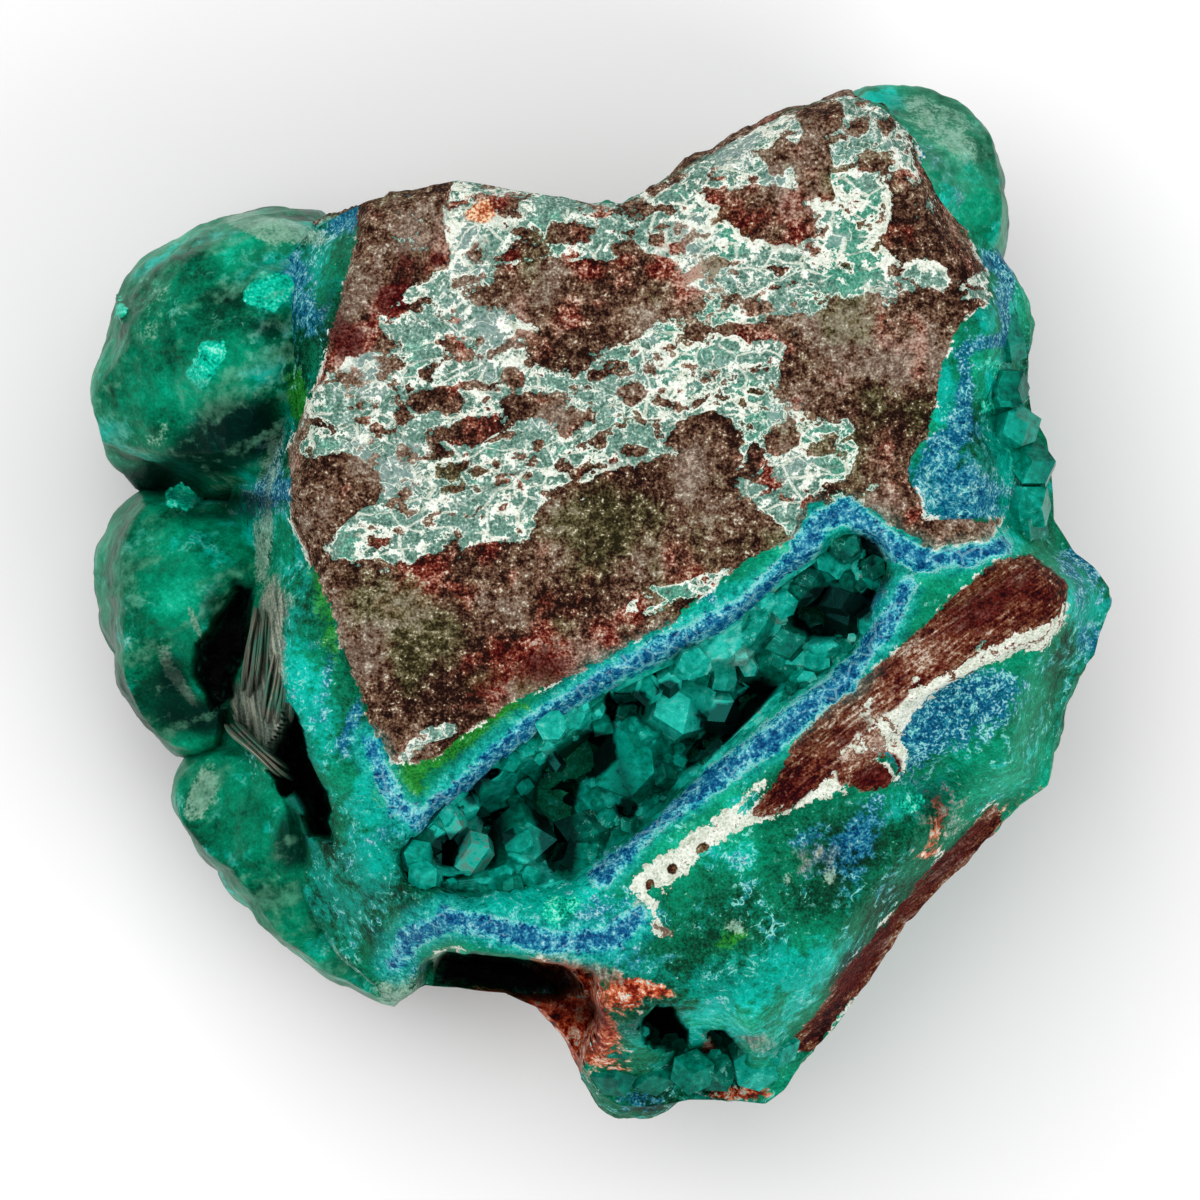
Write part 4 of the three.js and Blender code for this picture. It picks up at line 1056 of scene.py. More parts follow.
crust_thickness = 1.1
teal_lumps = [
    (562, 732, 46, 17, 36, 1.0), (735, 636, 66, 20, 33, 1.2), (770, 715, 52, 18, 40, 1.0),
    (822, 648, 26, 14, 0, 1.0), (470, 885, 40, 16, 20, 0.9), (520, 850, 22, 34, 20, 0.7),
    (570, 895, 26, 14, 20, 1.0), (640, 740, 34, 26, 30, 0.7), (610, 797, 30, 20, 20, 0.4),
    (866, 580, 16, 30, 20, 0.7), (500, 775, 30, 12, 35, 0.5),
]
skin_x, skin_y, skin_z, skin_arc = lining(0.2, -crust_thickness)
skin_u, skin_v = photo_place(skin_x, skin_y)
bent_x = skin_x + 0.25 * rough(skin_x, skin_y, 1.0, 1.1, 2)
bent_y = skin_y + 0.25 * rough(skin_x, skin_y, 9.0, 1.1, 2)
big_facets, skin_tone = facets(bent_x, bent_y, 2.6)
small_facets, small_tone = facets(bent_x, bent_y, 1.1, 10)
lumps_here = np.minimum(spots(skin_u, skin_v, teal_lumps), 1)
holes_here = smoothstep(spots(skin_u, skin_v, shaded_gaps), 0.45, 0.8)
skin_z = skin_z + (big_facets + 0.5 * small_facets) * np.sin(np.clip(skin_arc, 0.3, math.pi - 0.3))
lump_tops = np.minimum(skin_z + 5.0 * lumps_here, np.maximum(skin_z, crust_top - 0.3 + 0.4 * small_facets))
skin_z = np.where(skin_arc < math.pi, lump_tops, skin_z) - 3.0 * holes_here
skin_tone = 0.7 * skin_tone + 0.3 * small_tone
under_z = skin_z - crust_thickness
print("the lining's floor is at", skin_z.min().round(1), "mm")

grid_rows, grid_columns = skin_x.shape
skin_faces, edge = grid_faces(grid_rows, grid_columns)
lining_faces = np.concatenate([
    skin_faces, skin_faces[:, ::-1] + skin_x.size, ring_faces(edge, edge + skin_x.size),
])
lining_points = np.concatenate([
    np.stack([skin_x, skin_y, skin_z], axis=-1).reshape(-1, 3),
    np.stack([skin_x, skin_y, under_z], axis=-1).reshape(-1, 3),
])

# %% [markdown]
# The big crystals of the hollow stand where the solids have them. A few hundred small ones are
# strewn over the lining by a seeded random draw, leaning away from the wall that they grow on.
# %% The hollow's crystals
hollow_crystals = np.array([
    (470, 846, 21.8, 150, 20, 1.1, 3.0), (512, 866, 20.8, 70, 34, 2.0, 5.2),
    (520, 812, 20.6, 310, 30, 1.2, 3.4), (558, 870, 20.4, 20, 30, 1.8, 4.8),
    (566, 776, 20.6, 300, 40, 1.3, 3.8), (604, 830, 20.0, 200, 30, 1.8, 4.4),
    (606, 738, 20.8, 330, 34, 1.3, 3.6), (640, 776, 20.2, 140, 18, 2.1, 5.4),
    (662, 722, 20.6, 40, 24, 2.0, 5.4), (708, 694, 21.0, 300, 30, 1.3, 3.8),
    (716, 726, 21.2, 130, 40, 1.4, 3.6), (748, 672, 21.2, 20, 50, 1.5, 4.2),
    (786, 632, 21.4, 300, 40, 1.2, 3.6), (800, 662, 21.2, 120, 34, 1.5, 4.2),
    (844, 634, 21.6, 80, 30, 1.6, 4.4), (856, 580, 21.8, 240, 26, 1.5, 4.6),
])


def listed_crystals(rows):
    """Crystals from rows of x, y, foot height, lean towards, lean, radius and length."""
    x, y = place(rows[:, 0], rows[:, 1])
    in_hole = smoothstep(spots(rows[:, 0], rows[:, 1], shaded_gaps), 0.6, 1.2)
    feet = np.stack([x, y, rows[:, 2] - 5.0 * in_hole], axis=1)
    twist = 0.7 * np.arange(len(rows))
    return crystals(feet, rows[:, 5], rows[:, 6], rows[:, 3], rows[:, 4], twist)


small_count = 330
pick_row = rng.integers(6, grid_rows - 6, small_count)
pick_column = rng.integers(4, grid_columns - 4, small_count)
small_size = 0.25 + 0.8 * rng.random(small_count) ** 2
small_feet = np.stack([a[pick_row, pick_column] for a in (skin_x, skin_y, skin_z)], axis=1)
small_feet[:, 2] -= 0.5
wall_rise = np.gradient(skin_z, axis=1)[pick_row, pick_column]
across_x, across_y = (a[pick_row, -1] - a[pick_row, 0] for a in (skin_x, skin_y))
lean_way = np.degrees(np.arctan2(-across_y * wall_rise, -across_x * wall_rise))
lean_size = np.clip(abs(wall_rise) * 160, 10, 60) * (0.5 + rng.random(small_count))
small_u, small_v = photo_place(small_feet[:, 0], small_feet[:, 1])
keep = (spots(small_u, small_v, shaded_gaps) < 0.5) & (spots(small_u, small_v, teal_lumps) < 0.75)
small_length = small_size * (1.6 + 1.4 * rng.random(small_count))
small_way = lean_way + rng.normal(0, 40, small_count)
small_twist = rng.random(small_count) * 6.28
small_draws = (small_feet, small_size, small_length, small_way, lean_size, small_twist)
small = crystals(*(draw[keep] for draw in small_draws))
crust_parts = [(lining_points, [lining_faces]), listed_crystals(hollow_crystals), small]
crust_points, crust_blocks = joined(crust_parts)
small_tones = crystal_tones(len(crust_points) - len(lining_points))
crust = make_piece("vug_crust_druse", crust_points, crust_blocks, {
    **mineral_attributes(*crust_points.T),
    "rise": smoothstep(crust_points[:, 2], 18.5, 25.0),
    "tone": np.concatenate([skin_tone.ravel(), skin_tone.ravel(), small_tones]),
}, flat_from=len(lining_faces))
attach(crust, "root")
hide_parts("vug_crust")

# %% [markdown]
# Two more groups of crystals stand at the right edge and at the lower tip. They are the crystals
# of the solids, with smaller ones crowded round their feet.
# %% Crystals at the edge and the tip
edge_crystals = np.array([
    (992, 412, 22, 305, 62, 1.4, 6), (1002, 470, 21.5, 290, 58, 1.5, 5.4),
    (984, 440, 21.5, 20, 30, 1.3, 5.2), (988, 500, 21, 350, 35, 1.4, 5.4),
    (992, 300, 22.5, 285, 60, 1.2, 4.6), (980, 356, 22, 300, 50, 1.2, 5),
    (976, 384, 21.5, 350, 25, 1.2, 5.6),
])
tip_crystals = np.array([
    (620, 1058, 14.5, 250, 12, 1.4, 5.8), (652, 1060, 14, 270, 8, 1.5, 5.8),
    (690, 1058, 14.5, 280, 8, 1.4, 6.2), (718, 1060, 14.5, 260, 8, 1.3, 5.6),
    (746, 1052, 14.5, 300, 12, 1.4, 6.2), (766, 1034, 15.5, 320, 12, 1.2, 6),
    (632, 1034, 16, 200, 8, 1.2, 7),
])


def crowd(rows, count, spread, inwards):
    """Smaller crystals round those of a list: a random pick of a row, moved and shrunk at random."""
    pick = rows[rng.integers(0, len(rows), count)].copy()
    pick[:, 0:2] += inwards
    pick[:, 0:2] += rng.normal(0, spread, (count, 2))
    pick[:, 2] += rng.uniform(-1, 1, count)
    pick[:, 3] += rng.normal(0, 25, count)
    pick[:, 4] = pick[:, 4] * 0.5 + rng.uniform(-10, 4, count)
    pick[:, 5] *= rng.uniform(0.25, 0.7, count)
    pick[:, 6] *= rng.uniform(0.4, 0.8, count)
    return pick


crystal_groups = {"edge_crystals": (edge_crystals, (-16, 0)), "tip_crystals": (tip_crystals, (0, -10))}
for name, (rows, inwards) in crystal_groups.items():
    points, blocks = joined([listed_crystals(rows), listed_crystals(crowd(rows, 44, 9, inwards))])
    group = make_piece(name + "_fine", points, blocks, {
        **mineral_attributes(*points.T),
        "rise": np.full(len(points), 0.6),
        "tone": 0.3 + 0.4 * crystal_tones(len(points)),
    }, smooth=False)
    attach(group, "root")
    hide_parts(name)

# %% [markdown]
# Three bundles of silky, fibrous mineral stand in the dark cleft at the left. Each bundle is a few
# flat bars side by side, whose top edges slant and end raggedly, with ribs that run along them.
# %% Blades in the cleft
# Both ends of the bundle, its width, foot and top in mm, and how many bars it has.
blades = {
    "blade_upper": ((266, 600), (256, 704), 1.6, 12, 25.5, 8),
    "blade_inner": ((290, 630), (277, 730), 1.6, 12, 27.2, 8),
    "blade_lower": ((224, 718), (298, 784), 0.8, 10, 23, 3),
}


def make_bar(start, end, thickness, foot, top, seed, long_steps=64, round_steps=40):
    """A bar along its two ends: a section like a tall rounded box, ribbed by noise that runs along it."""
    way = (end - start) / np.linalg.norm(end - start)
    t = np.linspace(0, 1, long_steps + 1)[:, None]
    turn = np.linspace(0, 2 * math.pi, round_steps, endpoint=False)[None, :]
    taper = np.clip(1 - (2 * t - 1) ** 6, 0, 1) ** 0.7
    ribs = rough(turn * 3.2 + seed, t * 1.2, 0, 1.0, 4) * 0.5
    box_x = np.sign(np.cos(turn)) * abs(np.cos(turn)) ** 0.6
    box_z = np.sign(np.sin(turn)) * abs(np.sin(turn)) ** 0.6
    half = (thickness / 2 + 0.16 * ribs) * (0.04 + 0.96 * taper)
    slant = 0.7 * rough(t * 1.3 + seed, 0, 0, 1.0, 2) - 2.5 * (2 * t - 1) ** 4
    high = (top + slant - foot) / 2
    along = t * np.linalg.norm(end - start)
    sideways = half * box_x + 0.10 * rough(t * 1.6, seed, 0, 1.0, 2)
    x = start[0] + way[0] * along - way[1] * sideways
    y = start[1] + way[1] * along + way[0] * sideways
    z = foot + high + box_z * high * (0.3 + 0.7 * taper) + 0.15 * ribs
    points = np.stack([x, y, np.broadcast_to(z, x.shape)], axis=-1).reshape(-1, 3)
    rings = [round_steps * k + np.arange(round_steps) for k in range(long_steps + 1)]
    faces = [ring_faces(second, first) for first, second in zip(rings, rings[1:])]
    grain = np.stack(np.broadcast_arrays(turn * 2, t * 1.2, 0 * t + seed), axis=-1).reshape(-1, 3)
    return points, faces + [rings[0][None, ::-1], rings[-1][None]], grain


def make_blade(name, seed):
    """A bundle of bars over the width of the solid, each moved, shortened and lowered at random."""
    start, end, width, foot, top, count = blades[name]
    a, b = np.array(place(*start)), np.array(place(*end))
    side = np.array([-(b - a)[1], (b - a)[0]]) / np.linalg.norm(b - a)
    bars, grains = [], []
    for k in range(count):
        offset = side * width * ((k + 0.5) / count - 0.5)
        cut_start, cut_end = rng.uniform(0, 0.15, 2)
        bar_points, bar_faces, grain = make_bar(
            a + (b - a) * cut_start + offset * 0.8, b + (a - b) * cut_end + offset * 1.15,
            width / count * rng.uniform(1.2, 2.0), foot, top + 0.3 - rng.uniform(0, 0.6), seed + k)
        bars.append((bar_points, bar_faces))
        grains.append(grain)
    points, blocks = joined(bars)
    piece = make_piece(name + "_fibres", points, blocks, {"grain": np.concatenate(grains)})
    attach(piece, "root")
    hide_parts(name)
    return piece


blade_pieces = [make_blade(name, 10 * k) for k, name in enumerate(blades)]

# %% [markdown]
# Finishes are node materials, and their maths is written as Python. A Wire is one output of a
# node, and adding or multiplying wires adds Math nodes. A Paint holds one material, with methods
# for the few nodes that are used again and again. Colours are given as they look on a screen.
# %% Shader maths
class Wire:
    """One output of a node, so that a sum of wires is a Math node that adds them."""

    def __init__(self, paint, socket):
        self.paint = paint
        self.socket = socket

    def __add__(self, other):
        return self.paint.maths("ADD", self, other)

    def __radd__(self, other):
        return self.paint.maths("ADD", other, self)

    def __sub__(self, other):
        return self.paint.maths("SUBTRACT", self, other)

    def __rsub__(self, other):
        return self.paint.maths("SUBTRACT", other, self)

    def __mul__(self, other):
        return self.paint.maths("MULTIPLY", self, other)

    def __rmul__(self, other):
        return self.paint.maths("MULTIPLY", other, self)

    def __abs__(self):
        return self.paint.maths("ABSOLUTE", self)


def tint(red, green, blue):
    """The linear colour for a screen colour from 0 to 255."""
    share = np.array([red, green, blue]) / 255
    linear = np.where(share <= 0.04045, share / 12.92, ((share + 0.055) / 1.055) ** 2.4)
    return (*linear.tolist(), 1.0)


class Paint:
    """A material whose nodes are added by method calls."""

    def __init__(self, name):
        self.material = bpy.data.materials.new(name)
        self.material.use_nodes = True
        self.tree = self.material.node_tree
        self.shader = self.tree.nodes["Principled BSDF"]
        self.where = self.node("ShaderNodeTexCoord").outputs["Object"]
        self.seed = 0

    def node(self, kind, settings=None, inputs=None):
        """A node of a kind: its settings are set first, then the values or links of its sockets."""
        made = self.tree.nodes.new(kind)
        for key, value in (settings or {}).items():
            if key == "stops":
                for _ in value[2:]:
                    made.color_ramp.elements.new(0.5)
                for element, (position, colour) in zip(made.color_ramp.elements, value):
                    element.position = position
                    element.color = colour
            else:
                setattr(made, key, value)
        for key, value in (inputs or {}).items():
            self.feed(made.inputs[key], value)
        return made

    def feed(self, socket, value):
        """Links a wire or socket to a socket, or sets its value."""
        if isinstance(value, Wire):
            self.tree.links.new(value.socket, socket)
        elif isinstance(value, bpy.types.NodeSocket):
            self.tree.links.new(value, socket)
        else:
            socket.default_value = value

    def maths(self, operation, *values):
        made = self.node("ShaderNodeMath", {"operation": operation}, dict(enumerate(values)))
        return Wire(self, made.outputs[0])

    def most(self, a, b):
        return self.maths("MAXIMUM", a, b)

    def attribute(self, name):
        """A number that each point of the mesh carries."""
        return Wire(self, self.node("ShaderNodeAttribute", {"attribute_name": name}).outputs["Fac"])

    def step(self, value, low, high):
        """0 below low and 1 above high, smooth in between; with low above high it falls instead."""
        made = self.node("ShaderNodeMapRange", {"interpolation_type": "SMOOTHSTEP"},
                         {"Value": value, "From Min": low, "From Max": high})
        return Wire(self, made.outputs[0])

    def at(self, size, turn=0.0):
        """Object coordinates counted in grains of a size in mm, and turned round Z in degrees."""
        long, short, deep = size if isinstance(size, tuple) else (size, size, size)
        self.seed += 1
        return self.node("ShaderNodeMapping", {"vector_type": "TEXTURE"}, {
            "Vector": self.where,
            "Location": (0.0137 * self.seed, 0.0071 * self.seed, 0.0029 * self.seed),
            "Rotation": (0, 0, math.radians(turn)),
            "Scale": (long * mm, short * mm, deep * mm),
        }).outputs[0]

    def noise(self, size, detail, rough=0.55, bent=0.0, where=None):
        """Noise from 0 to 1 with its largest grains of a size in mm."""
        made = self.node("ShaderNodeTexNoise", None, {
            "Vector": where or self.at(size), "Scale": 1.0, "Detail": detail, "Roughness": rough,
            "Distortion": bent,
        })
        return Wire(self, made.outputs["Fac"])

    def cell_edges(self, where):
        """The distance to the nearest edge between cells round jittered centres on a plane."""
        settings = {"feature": "DISTANCE_TO_EDGE", "voronoi_dimensions": "2D"}
        made = self.node("ShaderNodeTexVoronoi", settings, {"Vector": where, "Scale": 1.0})
        return Wire(self, made.outputs["Distance"])

    def ramp(self, value, *stops):
        """A colour picked along a row of stops, each a position and a screen colour."""
        made = self.node("ShaderNodeValToRGB", {"stops": [(p, tint(*c)) for p, c in stops]}, {"Fac": value})
        return Wire(self, made.outputs["Color"])

    def blend(self, factor, first, second):
        """first where factor is 0, second where it is 1. Colours may be wires or screen colours."""
        first, second = (tint(*c) if isinstance(c, tuple) else c for c in (first, second))
        made = self.node("ShaderNodeMix", {"data_type": "RGBA"})
        self.feed(made.inputs[0], factor)
        self.feed(made.inputs[6], first)
        self.feed(made.inputs[7], second)
        return Wire(self, made.outputs[2])

    def finish(self, colour, roughness, height, depth_mm, strength):
        """Feeds the shader: colour, roughness, and a bump whose full height is depth_mm."""
        self.feed(self.shader.inputs["Base Color"], colour)
        self.feed(self.shader.inputs["Roughness"], roughness)
        bump = self.node("ShaderNodeBump", None,
                         {"Height": height, "Strength": strength, "Distance": depth_mm * mm})
        self.feed(self.shader.inputs["Normal"], bump.outputs[0])


# %% [markdown]
# The green and blue rind is one finish, used on the rock and on the round bodies. Two rows of colour,
# an emerald one and a turquoise one, are picked from by noise, thin pale threads run where noise
# crosses its middle value, and the patches shift it to blue, grass green, rusty, pale, and dark that
# is partly painted shade. A few fine grains are painted as glints. The broad clouds are numbers
# that the mesh already carries, so a finish adds only the fine grain.
# Adding fray, noise about zero, to a number before a step cuts a ragged edge from a smooth patch.
# %% The rind's colour
def rind_colour(paint, fine, grit, thread, thread_share=1.0, less_blue=0.0):
    """The rind's colour, from the patches that the mesh carries and three noises."""
    blue, grass, bright, cloud = (paint.attribute(name) for name in ("blue", "grass", "bright", "cloud"))
    dark, pale, rust, mottle = (paint.attribute(name) for name in ("dark", "pale", "rust", "mottle"))
    flake = paint.attribute("flake")
    grain = fine * 0.55 + grit * 0.45
    fray = fine - 0.5
    blotch = mottle - 0.5

    # The ground is emerald, and turquoise where it is bright.
    level = cloud * 0.40 + fine * 0.36 + grit * 0.24 + bright * 0.05 - dark * 0.10
    emeralds = paint.ramp(level, (0.28, (0, 20, 12)), (0.38, (0, 62, 40)), (0.47, (0, 106, 74)),
                          (0.56, (0, 136, 100)), (0.66, (16, 176, 138)), (0.78, (104, 206, 176)))
    teals = paint.ramp(level, (0.28, (0, 46, 40)), (0.37, (0, 92, 78)), (0.46, (0, 136, 116)),
                       (0.56, (0, 168, 150)), (0.66, (14, 200, 184)), (0.78, (120, 224, 212)))
    colour = paint.blend(paint.step(bright + fray * 1.6 + blotch, 0.10, 0.60), emeralds, teals)

    # Blue stains, with a frost of pale grains on them.
    blues = paint.ramp(grain + bright * 0.045 - dark * 0.04, (0.36, (0, 40, 84)), (0.45, (2, 76, 120)),
                       (0.52, (18, 112, 142)), (0.60, (80, 156, 172)), (0.70, (176, 208, 212)))
    blue_here = paint.step(blue + fray * 2.6 + blotch * 0.9 - less_blue, 0.30, 0.85)
    colour = paint.blend(blue_here * 0.9, colour, blues)
    frost_grains = paint.step(fine * 0.4 + grit * 0.6, 0.54, 0.60)
    frost = blue_here * frost_grains * paint.step(cloud + pale * 0.3, 0.44, 0.60)
    colour = paint.blend(frost * 0.42, colour, (178, 220, 224))

    # Grass green, greyish and rusty patches.
    grass_here = paint.step(grass + fray * 2.0, 0.28, 0.75)
    grass_greens = paint.ramp(grain, (0.36, (0, 70, 10)), (0.62, (44, 150, 44)))
    colour = paint.blend(grass_here * 0.9, colour, grass_greens)
    pale_here = paint.step(pale + (grain - 0.5) * 2.0, 0.5, 0.9)
    greyish = paint.ramp(grain, (0.38, (78, 128, 106)), (0.62, (164, 196, 174)))
    colour = paint.blend(pale_here * 0.75, colour, greyish)
    rust_here = paint.step(rust + fray * 1.6, 0.42, 0.66)
    rust_grain = fine * 0.60 + thread * 0.25 + grit * 0.15
    rusts = paint.ramp(rust_grain, (0.36, (18, 0, 4)), (0.44, (96, 14, 8)), (0.50, (172, 62, 28)),
                       (0.56, (216, 136, 100)), (0.62, (240, 224, 208)))
    colour = paint.blend(rust_here, colour, rusts)

    # Pale threads, painted glints, dark places that are partly painted shade, and the bright flakes.
    thread_line = paint.step(abs(thread - 0.5), 0.024, 0.006)
    threads = thread_line * paint.step(mottle + bright * 0.14 + blue * 0.14, 0.50, 0.68) * thread_share
    colour = paint.blend(threads * paint.step(fine, 0.47, 0.55) * 0.8, colour, (140, 224, 212))
    # Painted glints: bright points on a few fine grains.
    painted_glints = paint.step(grit, 0.70, 0.76) * paint.step(fine, 0.54, 0.60)
    colour = paint.blend(painted_glints * 0.8, colour, (216, 236, 230))
    # Dark places go near black: partly dark mineral, partly painted shade.
    dark_and_shade_here = paint.step(dark + fray * 1.2, 0.50, 1.15)
    colour = paint.blend(dark_and_shade_here * 0.88, colour, paint.blend(rust_here, (0, 16, 12), (34, 10, 10)))
    flakes = paint.ramp(grain, (0.40, (0, 96, 74)), (0.47, (0, 160, 130)), (0.55, (10, 200, 166)),
                        (0.64, (150, 230, 212)))
    return paint.blend(paint.step(flake + fray * 0.8, -0.04, 0.04), colour, flakes)


# %% [markdown]
# The rock's face is brown, broken stone. In its upper part it is crackled: brown islands stand in a
# grey-green filling, outlined by thin white lines. How deep a place lies in an island is a number
# that the mesh carries. Noise adds smaller islands, and the edges of bent, stretched cells draw the
# finest lines. Each colour is laid over the last: stone, plates, bands, vein, and painted shade in
# the cut hollows.
# %% The rock's finish
p = Paint("rock_and_rind")
fine = p.noise(0.62, detail=3, rough=0.70)
grit = p.noise(0.16, detail=1, rough=0.6)
thread = p.noise(1.2, detail=2, bent=0.8)
grain = fine * 0.5 + grit * 0.5
colour = rind_colour(p, fine, grit, thread)
plate, isle, chalk, side, painted_hollow_shade = (p.attribute(n) for n in ("plate", "isle", "chalk", "side", "sunk"))
red, olive_share, band, vein = (p.attribute(n) for n in ("red", "olive", "band", "vein"))
mottle, cloud, bare, drift = (p.attribute(n) for n in ("mottle", "cloud", "bare", "drift"))
fray, blotch = fine - 0.5, mottle - 0.5

stone_level = 0.49 + fray * 0.70 + (grit - 0.5) * 0.44 + (drift - 0.5) * 0.26
stone_level = stone_level + p.attribute("pale") * 0.05
brown = p.ramp(stone_level, (0.37, (24, 8, 5)), (0.44, (62, 36, 26)), (0.51, (98, 72, 54)),
               (0.58, (130, 108, 88)), (0.66, (186, 172, 152)))
reds = p.ramp(stone_level, (0.36, (40, 0, 2)), (0.45, (88, 20, 14)), (0.53, (136, 72, 54)),
              (0.63, (204, 166, 146)))
olives = p.ramp(stone_level, (0.37, (32, 30, 12)), (0.46, (68, 66, 38)), (0.54, (104, 100, 70)),
                (0.64, (156, 154, 124)))
brown = p.blend(p.step(red + fray * 1.8 + blotch * 2.2, 0.25, 0.95), brown, reds)
brown = p.blend(p.step(olive_share + fray * 1.6 + (cloud - 0.5) * 2.2, 0.20, 0.85) * 0.8, brown, olives)
brown = p.blend(p.step(drift + fray * 1.2, 0.58, 0.76) * 0.4, brown, (104, 90, 84))
flecks = p.step(grit * 0.5 + fine * 0.5, 0.615, 0.65)
brown = p.blend(flecks * 0.8, brown, (214, 210, 190))

# Fibres run along the lower plate, and upright in the grey mineral between the two clefts.
lower, silky_share = p.attribute("lower"), p.attribute("silky")
upright, along_plate = p.at((0.25, 3.5, 3.5), turn=8), p.at((0.20, 1.6, 1.6), turn=-53)
fibres = p.noise(1, detail=2, where=p.blend(lower, Wire(p, upright), Wire(p, along_plate)).socket)
low_level = fibres * 0.50 + fine * 0.38 + grit * 0.26 + drift * 0.22 - 0.18
maroon = p.ramp(low_level, (0.37, (22, 0, 6)), (0.46, (64, 10, 10)), (0.52, (100, 44, 24)),
                (0.58, (124, 88, 64)), (0.66, (206, 188, 172)))
brown = p.blend(lower * 0.85, brown, maroon)

# The filling between the brown islands, more small islands in it, and white lines round them all.
cell_place = p.node("ShaderNodeAttribute", {"attribute_name": "cells"}).outputs["Vector"]
edge_away = p.cell_edges(cell_place)
small_isles = (p.noise(1.0, detail=2, rough=0.5, where=cell_place) - 0.58) * 2.2
into_stone = p.most(isle, small_isles) + fray * 1.3
filling = p.step(into_stone, 0.04, -0.04)
sage = p.ramp(grain, (0.36, (60, 92, 80)), (0.45, (92, 130, 116)), (0.54, (122, 158, 144)),
              (0.62, (200, 218, 206)))
greener = p.ramp(grain, (0.38, (30, 116, 92)), (0.50, (60, 150, 124)), (0.62, (110, 190, 164)))
sage = p.blend(p.step(cloud + fray * 1.2, 0.46, 0.68) * 0.7, sage, greener)
sage = p.blend(p.step(drift + fray * 1.2, 0.50, 0.70) * 0.6, sage, (134, 154, 152))
line_width = 0.01 + 0.11 * p.step(mottle + fray * 1.4, 0.40, 0.80) + 0.17 * chalk
line_here = p.most(p.step(cloud + fray * 1.6, 0.36, 0.44), chalk)
shore_line = p.step(abs(into_stone + 0.08) - line_width, 0.05, -0.01) * line_here
cell_line = p.step(abs(edge_away + fray * 0.3), 0.055, 0.02) * p.step(mottle, 0.40, 0.50) * filling
fine_lines = p.step(abs(thread - 0.5), 0.018, 0.007) * p.step(drift, 0.44, 0.54) * filling
white_lines = p.most(shore_line, p.most(cell_line, fine_lines) * 0.85)
white = p.ramp(grain, (0.36, (176, 184, 162)), (0.50, (222, 228, 214)), (0.62, (244, 246, 238)))
# Dark places darken the stone to black-red: partly dark mineral, partly painted shade.
deep = p.step(p.attribute("dark") + fray * 1.4, 0.50, 0.85)
stone = p.blend(deep * 0.85, brown, p.ramp(grain, (0.40, (24, 2, 4)), (0.60, (88, 14, 14))))
stone = p.blend(filling * 0.96, stone, sage)
stone = p.blend(white_lines, stone, white)
orange = p.ramp(grain, (0.38, (110, 30, 14)), (0.48, (186, 104, 62)), (0.58, (236, 206, 170)))
stone = p.blend(p.step(p.attribute("rust") + fray * 1.6, 0.45, 0.70), stone, orange)

# Fibrous grey mineral runs down between the two clefts, where the blades stand, and shows in patches.
silky = p.step(silky_share + fray * 1.2, 0.35, 0.75)
greys = p.ramp(fibres * 0.7 + grit * 0.3, (0.36, (34, 40, 36)), (0.46, (88, 98, 88)),
               (0.54, (130, 134, 120)), (0.64, (182, 184, 166)))
colour = p.blend(silky * 0.9, colour, greys)

# The plates end at a broken pale line.
plate_edge = plate + fray * 1.1
on_plate = p.step(plate_edge, -0.05, 0.05) * (1 - side)
edge_line = p.step(abs(plate_edge) - 0.10 * mottle, 0.05, 0.0) * p.step(mottle + fray * 1.4, 0.57, 0.66)
colour = p.blend(on_plate, colour, stone)
colour = p.blend(edge_line * (1 - side) * 0.85, colour, white)
bare_side = side * p.step(bare + fray * 0.8, 0.05, -0.10)
colour = p.blend(bare_side, colour, brown)

# The blue bands: mottled blue with rings in it, between two thin pale lines and teal flanks.
bead_edge = edge_away + fray * 0.35
bead_lines = p.step(bead_edge, 0.09, 0.03) * p.step(mottle + (grit - 0.5) * 0.8, 0.40, 0.54)
band_grain = fine * 0.7 + grit * 0.3
band_blues = p.ramp(band_grain - bead_edge * 0.10, (0.35, (0, 48, 92)), (0.43, (8, 82, 126)),
                    (0.50, (30, 118, 152)), (0.57, (86, 166, 184)), (0.66, (178, 216, 222)))
band_teals = p.ramp(band_grain, (0.36, (0, 100, 120)), (0.48, (24, 150, 168)), (0.58, (88, 192, 200)),
                    (0.68, (184, 226, 226)))
band_edge = band + fray * 1.5 + blotch * 0.4
flank = p.step(band_edge + (cloud - 0.5) * 1.2, 1.0, 0.15) * (1 - side) * (1 - on_plate * 0.75)
flank_teals = p.ramp(band_grain, (0.38, (0, 112, 104)), (0.48, (6, 158, 146)), (0.57, (40, 192, 182)),
                     (0.68, (150, 224, 216)))
colour = p.blend(flank * 0.8, colour, flank_teals)
in_band = p.step(band_edge, 0.08, -0.08) * (1 - side)
band_core = p.step(band_edge + (grit - 0.5) * 0.8, 0.0, -0.40)
band_colour = p.blend(band_core, band_teals, band_blues)
colour = p.blend(in_band, colour, p.blend(bead_lines * 0.35, band_colour, (150, 206, 214)))
band_line = p.step(abs(band_edge - 0.06), 0.11, 0.03) * p.step(cloud + fray * 1.6, 0.48, 0.60) * (1 - side)
colour = p.blend(band_line * 0.65, colour, (150, 214, 216))

# The white vein, with small brown holes in it.
vein_edge = vein + fray * 1.5 + blotch * 0.5
in_vein = p.step(vein_edge, 0.04, -0.04) * (1 - side)
vein_holes = p.most(p.step(drift + fray * 1.6, 0.62, 0.72), p.step(red + fray * 0.8, 0.70, 0.95))
colour = p.blend(in_vein, colour, p.blend(vein_holes, white, brown))

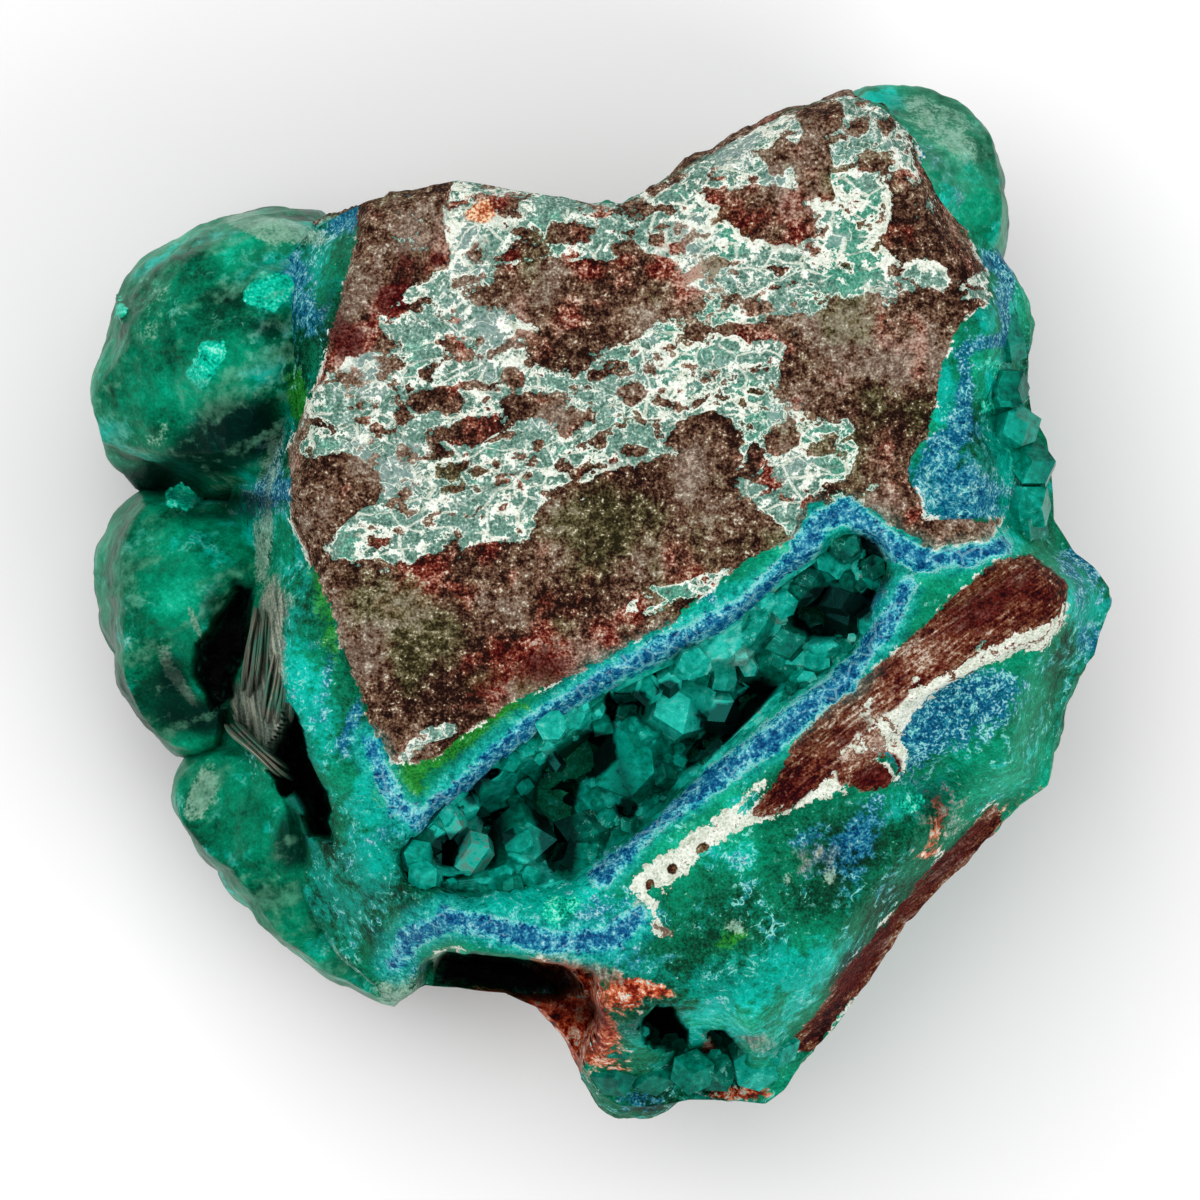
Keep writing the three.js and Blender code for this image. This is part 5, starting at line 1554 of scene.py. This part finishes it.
# The cut hollows are painted near black inside: painted shade.
colour = p.blend(painted_hollow_shade * 0.95, colour, p.ramp(grain, (0.40, (8, 1, 3)), (0.62, (34, 12, 14))))
roughness = 0.50 + 0.28 * on_plate + 0.2 * bare_side
p.finish(colour, roughness, fine * 0.6 + grit * 0.4, 0.30, 0.8)
p.shader.inputs["Specular IOR Level"].default_value = 0.05
rock.data.materials.append(p.material)

# %% [markdown]
# The round bodies are the same green mineral, but massive: deep emerald, cloudy inside, with
# grey-green veils across it and a soft gloss.
# %% The green bodies' finish
p = Paint("massive_green")
fine = p.noise(0.7, detail=3, rough=0.64)
grit = p.noise(0.18, detail=1, rough=0.6)
thread = p.noise(1.6, detail=2, bent=0.8)
veil, painted_hollow_shade = p.attribute("veil"), p.attribute("sunk")
calm_fine, calm_grit = 0.5 + (fine - 0.5) * 0.8, 0.5 + (grit - 0.5) * 0.7
colour = rind_colour(p, calm_fine, calm_grit, thread, thread_share=0.3, less_blue=0.8)
veil_here = p.step(veil + (fine - 0.5) * 0.9, 0.56, 0.86)
colour = p.blend(veil_here * 0.5, colour, p.ramp(fine, (0.35, (14, 78, 56)), (0.65, (92, 150, 122))))
# Painted shade: the cut hollows are painted near black.
colour = p.blend(painted_hollow_shade * 0.95, colour, (8, 1, 4))
p.finish(colour, 0.36 + 0.25 * veil_here, fine * 0.7 + grit * 0.3, 0.14, 0.6)
p.shader.inputs["Specular IOR Level"].default_value = 0.14
p.shader.inputs["Specular Tint"].default_value = tint(90, 255, 225)
for piece in lobe_pieces:
    piece.data.materials.append(p.material)

# %% [markdown]
# The crystals are glassy and let light in: part of it passes through, and what comes back is
# emerald to turquoise. Each has its own tone. Higher crystals are painted lighter, and deep down and
# in the gaps they are painted near black: painted light and shade.
# %% The crystals' finish
p = Paint("dioptase")
hole, rise, bright, tone, cloud = (p.attribute(n) for n in ("hole", "rise", "bright", "tone", "cloud"))
fine = p.noise(0.5, detail=3, rough=0.66)
thread = p.noise(1.0, detail=3, bent=0.9)
# Painted light: rise, the crystal's height, makes higher crystals lighter.
level = tone * 0.34 + fine * 0.46 + cloud * 0.28 + bright * 0.09 + rise * 0.14 - 0.15
colour = p.ramp(level, (0.26, (0, 26, 22)), (0.38, (0, 72, 58)), (0.48, (0, 116, 94)), (0.58, (4, 158, 138)),
                (0.70, (40, 204, 184)), (0.82, (130, 230, 214)))
colour = p.blend(p.step(tone, 0.93, 0.95) * p.step(fine, 0.40, 0.60) * 0.8, colour, (104, 132, 118))
threads = p.step(abs(thread - 0.5), 0.018, 0.004) * p.step(cloud, 0.46, 0.58)
colour = p.blend(threads * p.step(fine, 0.50, 0.56) * 0.5, colour, (150, 226, 212))
# Painted shade: near black in the gaps and deep down.
colour = p.blend(p.step(hole + (fine - 0.5) * 0.7, 0.36, 0.66) * 0.985, colour, (4, 0, 3))
colour = p.blend(p.step(rise, 0.55, 0.0) * 0.8, colour, (0, 12, 10))
p.finish(colour, 0.20 + 0.2 * fine, fine, 0.06, 0.5)
p.shader.inputs["Transmission Weight"].default_value = 0.2
p.shader.inputs["Specular IOR Level"].default_value = 0.3
p.shader.inputs["Specular Tint"].default_value = tint(80, 255, 235)
p.shader.inputs["IOR"].default_value = 1.66
crust.data.materials.append(p.material)
for name in ("edge_crystals_fine", "tip_crystals_fine"):
    bpy.data.objects[name].data.materials.append(p.material)

# %% [markdown]
# The blades are grey-brown and silky. Their grain follows each blade, so it reads an attribute
# that runs along and around it.
# %% The blades' finish
p = Paint("silky_blade")
grain_place = p.node("ShaderNodeAttribute", {"attribute_name": "grain"}).outputs["Vector"]
stretched = p.node("ShaderNodeVectorMath", {"operation": "MULTIPLY"}, {0: grain_place, 1: (3.0, 0.5, 1.0)})
fibre = p.noise(1.0, detail=5, rough=0.68, where=stretched.outputs[0])
grey = p.ramp(fibre, (0.34, (20, 26, 22)), (0.44, (66, 76, 66)), (0.53, (112, 114, 98)),
              (0.64, (170, 168, 146)))
colour = p.blend(p.step(p.noise(2.0, detail=3), 0.50, 0.62) * 0.7, grey, (44, 118, 96))
p.finish(colour, 0.45, fibre, 0.15, 0.8)
p.shader.inputs["Specular IOR Level"].default_value = 0.2
for piece in blade_pieces:
    piece.data.materials.append(p.material)
